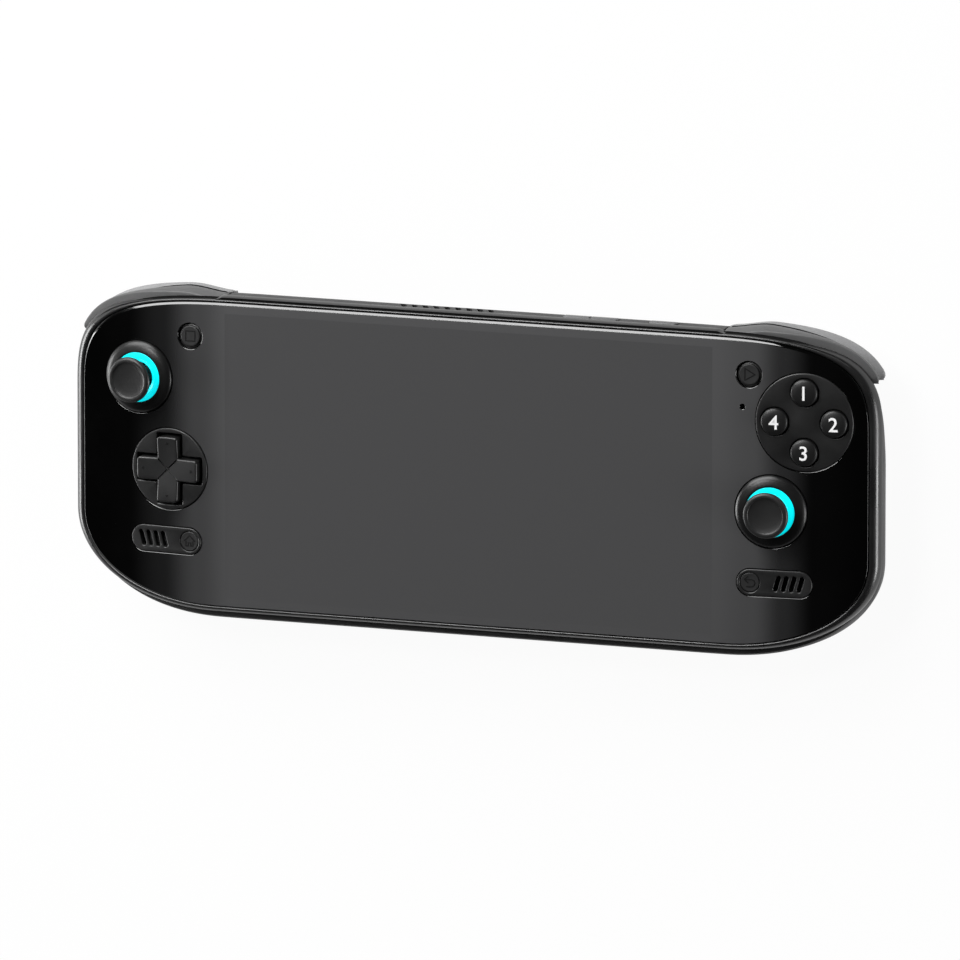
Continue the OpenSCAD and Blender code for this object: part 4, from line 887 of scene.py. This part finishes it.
# Keys of the top wall
KEY_FLANGE = WALL_TOP - WALL - 0.85
for name, (x, w), body in (("volume", VOLUME_KEY, "volume_rocker"), ("power", POWER_KEY, "power_button")):
    y0, y1 = KEY_FLANGE - 0.3, WALL_TOP + 0.4
    parts = [block((w, y1 - y0, 2.4), (x, (y0 + y1) / 2, FRONT_Z - KEY_D), 0.4, 3),
             block((w + 2, 1.3, 3.2), (x, KEY_FLANGE - 0.65, FRONT_Z - KEY_D), 0.15, 2)]
    for dx in ((-5.2, 5.2) if name == "volume" else (0.0,)):
        parts.append(block((2, 1.3, 1.6), (x + dx, KEY_FLANGE - 1.3, FRONT_Z - KEY_D), 0.15, 2))
    grooves = None
    if name == "volume":
        pin_hole = lathe([(0, -6), (0.55, -6), (0.55, 6), (0, 6)], 24)
        grooves = [block((0.5, 0.7, 4.0), (x, y1 + 0.05, FRONT_Z - KEY_D), 0.12, 2),
                   moved(pin_hole, shift(x, WALL_TOP - 3.3, FRONT_Z - KEY_D))]
    piece(name + "_key", parts, key_mat, body, [body], cuts=grooves)

# Thumb sticks: turned sections as radius and height
bezel_side = spline([(9.45, -0.3), (9.36, 0.2), (9.0, 0.62), (8.3, 1.02), (7.4, 1.28), (6.9, 1.38)], 5)
bezel_line = (fillet([(5.75, SKIRT_LOW), (9.45, SKIRT_LOW), (9.45, -0.05)], 0.1, 2)[:-1] + bezel_side
              + [(6.72, 1.4), (6.58, 1.38), (6.5, 1.28), (6.5, 0.35), (5.75, 0.35)])
ring_line = fillet([(4.15, 0.4), (6.45, 0.4), (6.45, 1.25), (5.05, 1.25), (4.15, 0.7)], 0.12, 3, True)
cap_side = spline([(4.8, 6.28), (5.0, 6.3), (5.35, 6.27), (5.68, 6.1), (5.88, 5.82), (5.95, 5.5), (5.82, 5.15),
                   (5.4, 4.8), (4.5, 4.5), (3.6, 4.2), (2.9, 4.0), (2.5, 3.75), (2.4, 3.45)], 4)
cap_lip = spline([(4.8, 6.28), (4.68, 6.24), (4.58, 6.14)], 3)
cap_line = [(1.65, 4.9), (1.65, 3.45)] + list(reversed(cap_side)) + cap_lip[1:]
cap_close = [(1.65, 4.9), (0, 4.9)]
dish_line = spline([(4.58, 6.14), (4.45, 6.04), (3.5, 5.87), (1.8, 5.74), (0.0, 5.7)], 4)
for side, x, y in (("left", -UPPER[0], UPPER[1]), ("right", LOWER[0], LOWER[1])):
    at = on_front(x, y)
    piece(side + "_stick_collar", [moved(lathe(bezel_line, 128, True), at)], bezel_mat,
          nodes=[side + "_stick_bezel"])
    piece(side + "_stick_light", [moved(lathe(ring_line, 128, True), at)], light_mat,
          nodes=[side + "_stick_ring"])
    cap_body = side + "_stick_cap"
    cap_parts = [moved(lathe(line, 128), at) for line in (cap_line, dish_line, cap_close)]
    piece(side + "_stick_mushroom", cap_parts, cap_mat, cap_body, [cap_body])

# Direction pad: half the width of an arm, and how far the middle of the cross sinks
CROSS_HALF, DISH = 2.9, 0.85


def cross_loop(half, reach, r_in, r_out):
    pts = []
    for k in range(4):
        a = k * math.pi / 2
        for px, py, r in ((reach, -half, r_out), (reach + 0.12, 0, 4.0), (reach, half, r_out), (half, half, r_in)):
            pts.append((px * math.cos(a) - py * math.sin(a), px * math.sin(a) + py * math.cos(a), r))
    return fillet(pts, 0.3, 4, True)


at = on_front(-LOWER[0], LOWER[1])
pad_hole = cross_loop(CROSS_HALF + 0.7, 9.25, 0.4, 0.5)
pad_plate = plate(circle(0, 0, PAD_R, 128), [pad_hole], 0.05, -1.75, 0.3, steps=4)
pad_skirt = tube(PAD_R, 10.0, SKIRT_LOW, -1.6, 0.08, 96)
piece("pad_plate", [moved(pad_plate, at), moved(pad_skirt, at)], plate_mat, nodes=["dpad_plate"])
cross = plate(cross_loop(CROSS_HALF, 8.48, 0.25, 0.9), [], 1.8, -2.9, 0.42, steps=5)
grid = [((0, 0, 0), (1, 1, 0)), ((0, 0, 0), (1, -1, 0))]
for k in range(-8, 9):
    grid += [((k, 0, 0), (1, 0, 0)), ((0, k, 0), (0, 1, 0))]
verts, faces = sliced(cross, grid)
cross = [(x, y, z - DISH * (1 - min(max(abs(x), abs(y)) / 8.0, 1.0)) if z > 1.0 else z)
         for x, y, z in verts], faces
flange = lathe(fillet([(2.0, -3.45), (7.55, -3.45), (7.55, -2.85), (2.0, -2.85)], 0.12, 2, True), 96, True)
grooves = []
for a in (45, -45):
    groove = block((7.4, 0.45, 0.8), (0, 0, 1.2), 0.12, 2, Matrix.Rotation(math.radians(a), 4, "Z"))
    grooves.append(moved(groove, at))
piece("pad_cross", [moved(cross, at), moved(flange, at)], cross_mat, "dpad_cross", ["dpad_cross"],
      angle=38, cuts=grooves)
marks = []
for k in range(4):
    tri = fillet([(6.6, -0.5), (7.3, 0), (6.6, 0.5)], 0.12, 3, True)
    marks.append(moved(plate(tri, [], 1.77, 1.6, 0.02, steps=2), at @ Matrix.Rotation(k * math.pi / 2, 4, "Z")))
piece("pad_marks", marks, icon_mat, "dpad_cross")

# Face buttons with plain numerals
at = on_front(UPPER[0], UPPER[1])
SPOT, NUMERAL_SIZE = 7.75, 5.2
spots = {"right": (SPOT, 0.0), "top": (0.0, SPOT), "left": (-SPOT, 0.0), "bottom": (0.0, -SPOT)}
spot_holes = [circle(px, py, 3.75, 72) for px, py in spots.values()]
face_plate = plate(circle(0, 0, FACE_R, 144), spot_holes, 0.05, -1.75, 0.3, steps=4)
face_skirt = tube(FACE_R, 12.1, SKIRT_LOW, -1.6, 0.08, 96)
piece("face_disc", [moved(face_plate, at), moved(face_skirt, at)], plate_mat, nodes=["face_plate"])
button_foot = fillet([(0, -3.2), (4.0, -3.2), (4.0, -1.9), (3.5, -1.9), (3.5, 0.3)], 0.1, 2)
button_dome = spline([(3.5, 0.55), (3.44, 0.86), (3.22, 1.1), (2.7, 1.3), (1.7, 1.45), (0.0, 1.5)], 6)
button_line = [(0, -3.2)] + button_foot[1:] + button_dome


def numeral(text, size):
    curve = bpy.data.curves.new("numeral_" + text, "FONT")
    curve.body = text
    curve.size = size
    curve.align_x, curve.align_y = "CENTER", "CENTER"
    curve.extrude = 0.12
    curve.offset = 0.05
    curve.resolution_u = 6
    obj = bpy.data.objects.new("numeral_" + text, curve)
    scene.collection.objects.link(obj)
    mesh = bpy.data.meshes.new_from_object(obj.evaluated_get(bpy.context.evaluated_depsgraph_get()))
    made = [tuple(v.co) for v in mesh.vertices], [tuple(p.vertices) for p in mesh.polygons]
    bpy.data.objects.remove(obj)
    xs, ys = [v[0] for v in made[0]], [v[1] for v in made[0]]
    cx, cy = (min(xs) + max(xs)) / 2, (min(ys) + max(ys)) / 2
    return [(x - cx, y - cy, z) for x, y, z in made[0]], made[1]


for text, name in zip("1234", ("top", "right", "bottom", "left")):
    px, py = spots[name]
    spot = at @ shift(px, py)
    body = "face_button_" + name
    piece(body + "_cap", [moved(lathe(button_line, 96), spot)], button_mat, body, [body])
    number = moved(numeral(text, NUMERAL_SIZE), spot @ shift(0, 0, 1.39))
    piece(body + "_number", [number], mark_mat, body)


# Plain signs of the small buttons
ICON_W, ICON_THICK = 0.32, 0.12


def strokes(lines, z):
    """Round-ended strokes along the lines, each a little higher than the last so that no tops coincide"""
    parts = []
    lift = 0.0
    for line in lines:
        for (x0, y0), (x1, y1) in zip(line, line[1:]):
            length = math.dist((x0, y0), (x1, y1))
            loop = stadium(0, 0, length + ICON_W, ICON_W, segs=6)
            turn = Matrix.Rotation(math.atan2(y1 - y0, x1 - x0), 4, "Z")
            parts.append(moved(plate(loop, [], z + lift, z - ICON_THICK, 0.03, steps=1),
                               shift((x0 + x1) / 2, (y0 + y1) / 2) @ turn))
            lift += 0.002
    return parts


small_line = [(0, -0.2), (1.2, -0.21), (2.3, -0.18), (2.52, -0.17), (2.64, -0.22), (2.7, -0.34), (2.7, -0.66),
              (2.74, -0.72), (3.1, -0.8), (3.15, -0.85), (3.15, -1.25), (3.8, -1.25), (3.8, -2.0), (1.5, -2.1),
              (1.5, -4.5), (0, -4.5)]
square = [(-1.3, -1.3), (1.3, -1.3), (1.3, 1.3), (-1.3, 1.3), (-1.3, -1.3)]
wedge = [(-1.1, -1.55), (1.55, 0), (-1.1, 1.55), (-1.1, -1.55)]
for name, x, icon in (("select_button", -SMALL[0], square), ("start_button", SMALL[0], wedge)):
    at = on_front(x, SMALL[1])
    piece(name + "_cap", [moved(lathe(small_line, 72), at)], small_mat, name, [name])
    piece(name + "_icon", [moved(p, at) for p in strokes([icon], -0.16)], icon_mat, name)

# Capsules with slots and a round button each
SLOT_LEN, SLOT_W, SLOT_PITCH, SLOT_SLANT = 4.2, 1.2, 2.05, 16
home_line = [(0, -0.15), (1.4, -0.16), (2.2, -0.12), (2.36, -0.1), (2.46, -0.15), (2.5, -0.28), (2.5, -1.65),
             (2.85, -1.65), (2.85, -2.3), (1.5, -2.4), (1.5, -4.5), (0, -4.5)]
house = [[(-1.5, 0.05), (0, 1.5), (1.5, 0.05)],
         [(-1.0, 0.0), (-1.0, -1.25), (-0.36, -1.25), (-0.36, -0.4), (0.36, -0.4), (0.36, -1.25), (1.0, -1.25),
          (1.0, 0.0)]]
turn_back = [[(-0.5, 1.55), (-1.4, 0.7), (-0.5, -0.15)],
             [(-1.4, 0.7), (0.55, 0.7), (1.15, 0.45), (1.4, -0.15), (1.15, -0.8), (0.55, -1.15), (-0.8, -1.15)]]
for s, side, name, icon in ((-1, "left", "home_button", house), (1, "right", "back_button", turn_back)):
    at = on_front(s * POD[0], POD[1])
    slant = math.pi / 2 - s * math.radians(SLOT_SLANT)
    holes = [stadium(s * (CAPSULE_SLOTS + (i - 1.5) * SLOT_PITCH), 0, SLOT_LEN, SLOT_W, slant) for i in range(4)]
    holes.append(circle(-s * CAPSULE_BUTTON, 0, 2.65, 64))
    ring_out, ring_in = stadium(0, 0, *CAPSULE, segs=32), stadium(0, 0, 18.7, 5.8, segs=32)
    pod = plate(ring_out, holes, 0.05, -1.5, 0.25, steps=4)
    skirt = plate(ring_out, [ring_in], -1.45, SKIRT_LOW, 0.05, steps=1)
    piece(side + "_capsule", [moved(pod, at), moved(skirt, at)], plate_mat, nodes=[side + "_grille"])
    button = at @ shift(-s * CAPSULE_BUTTON, 0)
    piece(name + "_cap", [moved(lathe(home_line, 72), button)], small_mat, name, [name])
    piece(name + "_icon", [moved(p, button) for p in strokes(icon, -0.1)], icon_mat, name)

# Materials of the pieces that stay as they are in the frame
by_slot = {"screen": mesh_mat, "membrane_rubber": silicone_mat, "inner_plastic": inner_mat, "steel": steel_mat,
           "board_green": board_mat, "battery_foil": battery_mat, "copper": copper_mat, "control_black": button_mat,
           "glass_black": glass_mat, "frame_metal": rim_mat, "shell_black": shell_mat, "key_grey": key_mat,
           "trigger_grey": trigger_mat, "plate_black": plate_mat, "light_cyan": light_mat, "stick_rubber": cap_mat}
slots = {p["node"]: p["material_slot"] for p in frame["record"]["subparts"]}
for name, obj in frame["nodes"].items():
    chosen = mesh_mat if name.endswith("_speaker") else by_slot[slots[name]]
    obj.data.materials.clear()
    obj.data.materials.append(chosen)

# World: a dim room with a white band at the horizon
ROOM = 0.015
world = bpy.data.worlds.new("studio")
scene.world = world
world.use_nodes = True
wt = world.node_tree
sky = wt.nodes.new("ShaderNodeTexCoord")
height = wt.nodes.new("ShaderNodeSeparateXYZ")
wt.links.new(sky.outputs["Generated"], height.inputs[0])
fade = wt.nodes.new("ShaderNodeValToRGB")
low_end, high_end = fade.color_ramp.elements
low_end.position, low_end.color = 0.06, (1, 1, 1, 1)
high_end.position, high_end.color = 0.13, (ROOM, ROOM, ROOM, 1)
wt.links.new(height.outputs["Z"], fade.inputs["Fac"])
wt.links.new(fade.outputs["Color"], wt.nodes["Background"].inputs["Color"])

# Floor, nearly white to the camera and in reflections, with the object's shadow on it
FLOOR_HALF, FLOOR_Z, FLOOR_GLOW = 8, -0.0004, 0.95
floor_corners = [(x * FLOOR_HALF, y * FLOOR_HALF, FLOOR_Z) for x, y in ((-1, -1), (1, -1), (1, 1), (-1, 1))]
floor_mesh = bpy.data.meshes.new("floor")
floor_mesh.from_pydata(floor_corners, [], [(0, 1, 2, 3)])
floor = bpy.data.objects.new("floor", floor_mesh)
scene.collection.objects.link(floor)
floor_mat = bpy.data.materials.new("floor_white")
floor_mat.use_nodes = True
ft = floor_mat.node_tree
ground = ft.nodes["Principled BSDF"]
ground.inputs["Base Color"].default_value = (0.8, 0.8, 0.8, 1)
ground.inputs["Roughness"].default_value = 0.9
ground.inputs["Specular IOR Level"].default_value = 0.0
glow = ft.nodes.new("ShaderNodeEmission")
glow.inputs["Strength"].default_value = 1.0
path = ft.nodes.new("ShaderNodeLightPath")
seen = path.outputs["Is Camera Ray"]
for ray in ("Is Glossy Ray", "Is Transmission Ray"):
    more = ft.nodes.new("ShaderNodeMath")
    more.operation = "MAXIMUM"
    ft.links.new(seen, more.inputs[0])
    ft.links.new(path.outputs[ray], more.inputs[1])
    seen = more.outputs[0]
share = ft.nodes.new("ShaderNodeMath")
share.operation = "MULTIPLY"
share.inputs[1].default_value = FLOOR_GLOW
ft.links.new(seen, share.inputs[0])
mix = ft.nodes.new("ShaderNodeMixShader")
ft.links.new(share.outputs[0], mix.inputs[0])
ft.links.new(ground.outputs[0], mix.inputs[1])
ft.links.new(glow.outputs[0], mix.inputs[2])
ft.links.new(mix.outputs[0], ft.nodes["Material Output"].inputs["Surface"])
floor_mesh.materials.append(floor_mat)


# Lamps, all aimed at the middle of the object
LAMP_AIM = Vector((0, 0, 0.015))


def area(name, direction, distance, size, power):
    light = bpy.data.lights.new(name, "AREA")
    light.shape = "RECTANGLE"
    light.size, light.size_y = size
    light.energy = power
    obj = bpy.data.objects.new(name, light)
    scene.collection.objects.link(obj)
    d = Vector(direction).normalized()
    obj.location = LAMP_AIM + d * distance
    obj.rotation_mode = "QUATERNION"
    obj.rotation_quaternion = d.to_track_quat("Z", "Y")


area("key_soft", (-0.42, 0.76, 0.49), 1.5, (1.3, 0.9), 34)
area("front_soft", (-0.3, 0.42, 0.86), 1.5, (0.5, 0.3), 8)
area("left_strip", (-1.0, -0.1, 0.16), 0.9, (0.5, 0.3), 5)
area("right_strip", (0.97, -0.2, 0.16), 0.9, (0.4, 0.3), 4)

# Camera at the photograph's viewing angle, far off with a long lens
VIEW_AZ, VIEW_EL, VIEW_DIST, VIEW_WIDTH = math.radians(20.12), math.radians(11.23), 4500.0, 245.69
SENSOR, VIEW_RIGHT, VIEW_DOWN = 36.0, 3.294, 1.623
toward = Vector((math.sin(VIEW_AZ) * math.cos(VIEW_EL), math.sin(VIEW_EL),
                 math.cos(VIEW_AZ) * math.cos(VIEW_EL)))
right = Vector((0, 1, 0)).cross(toward).normalized()
up = toward.cross(right)
camera = bpy.data.cameras.new("camera")
camera.sensor_width = SENSOR
camera.lens = SENSOR * VIEW_DIST / VIEW_WIDTH
camera.clip_start, camera.clip_end = 0.1, 100.0
cam = bpy.data.objects.new("camera", camera)
scene.collection.objects.link(cam)
target = Vector((0, 0, FRONT_Z)) + right * VIEW_RIGHT - up * VIEW_DOWN
cam.location = (target + toward * VIEW_DIST) * MM
cam.rotation_mode = "QUATERNION"
cam.rotation_quaternion = Matrix((right, up, toward)).transposed().to_quaternion()
scene.camera = cam
scene.view_settings.view_transform = "Standard"
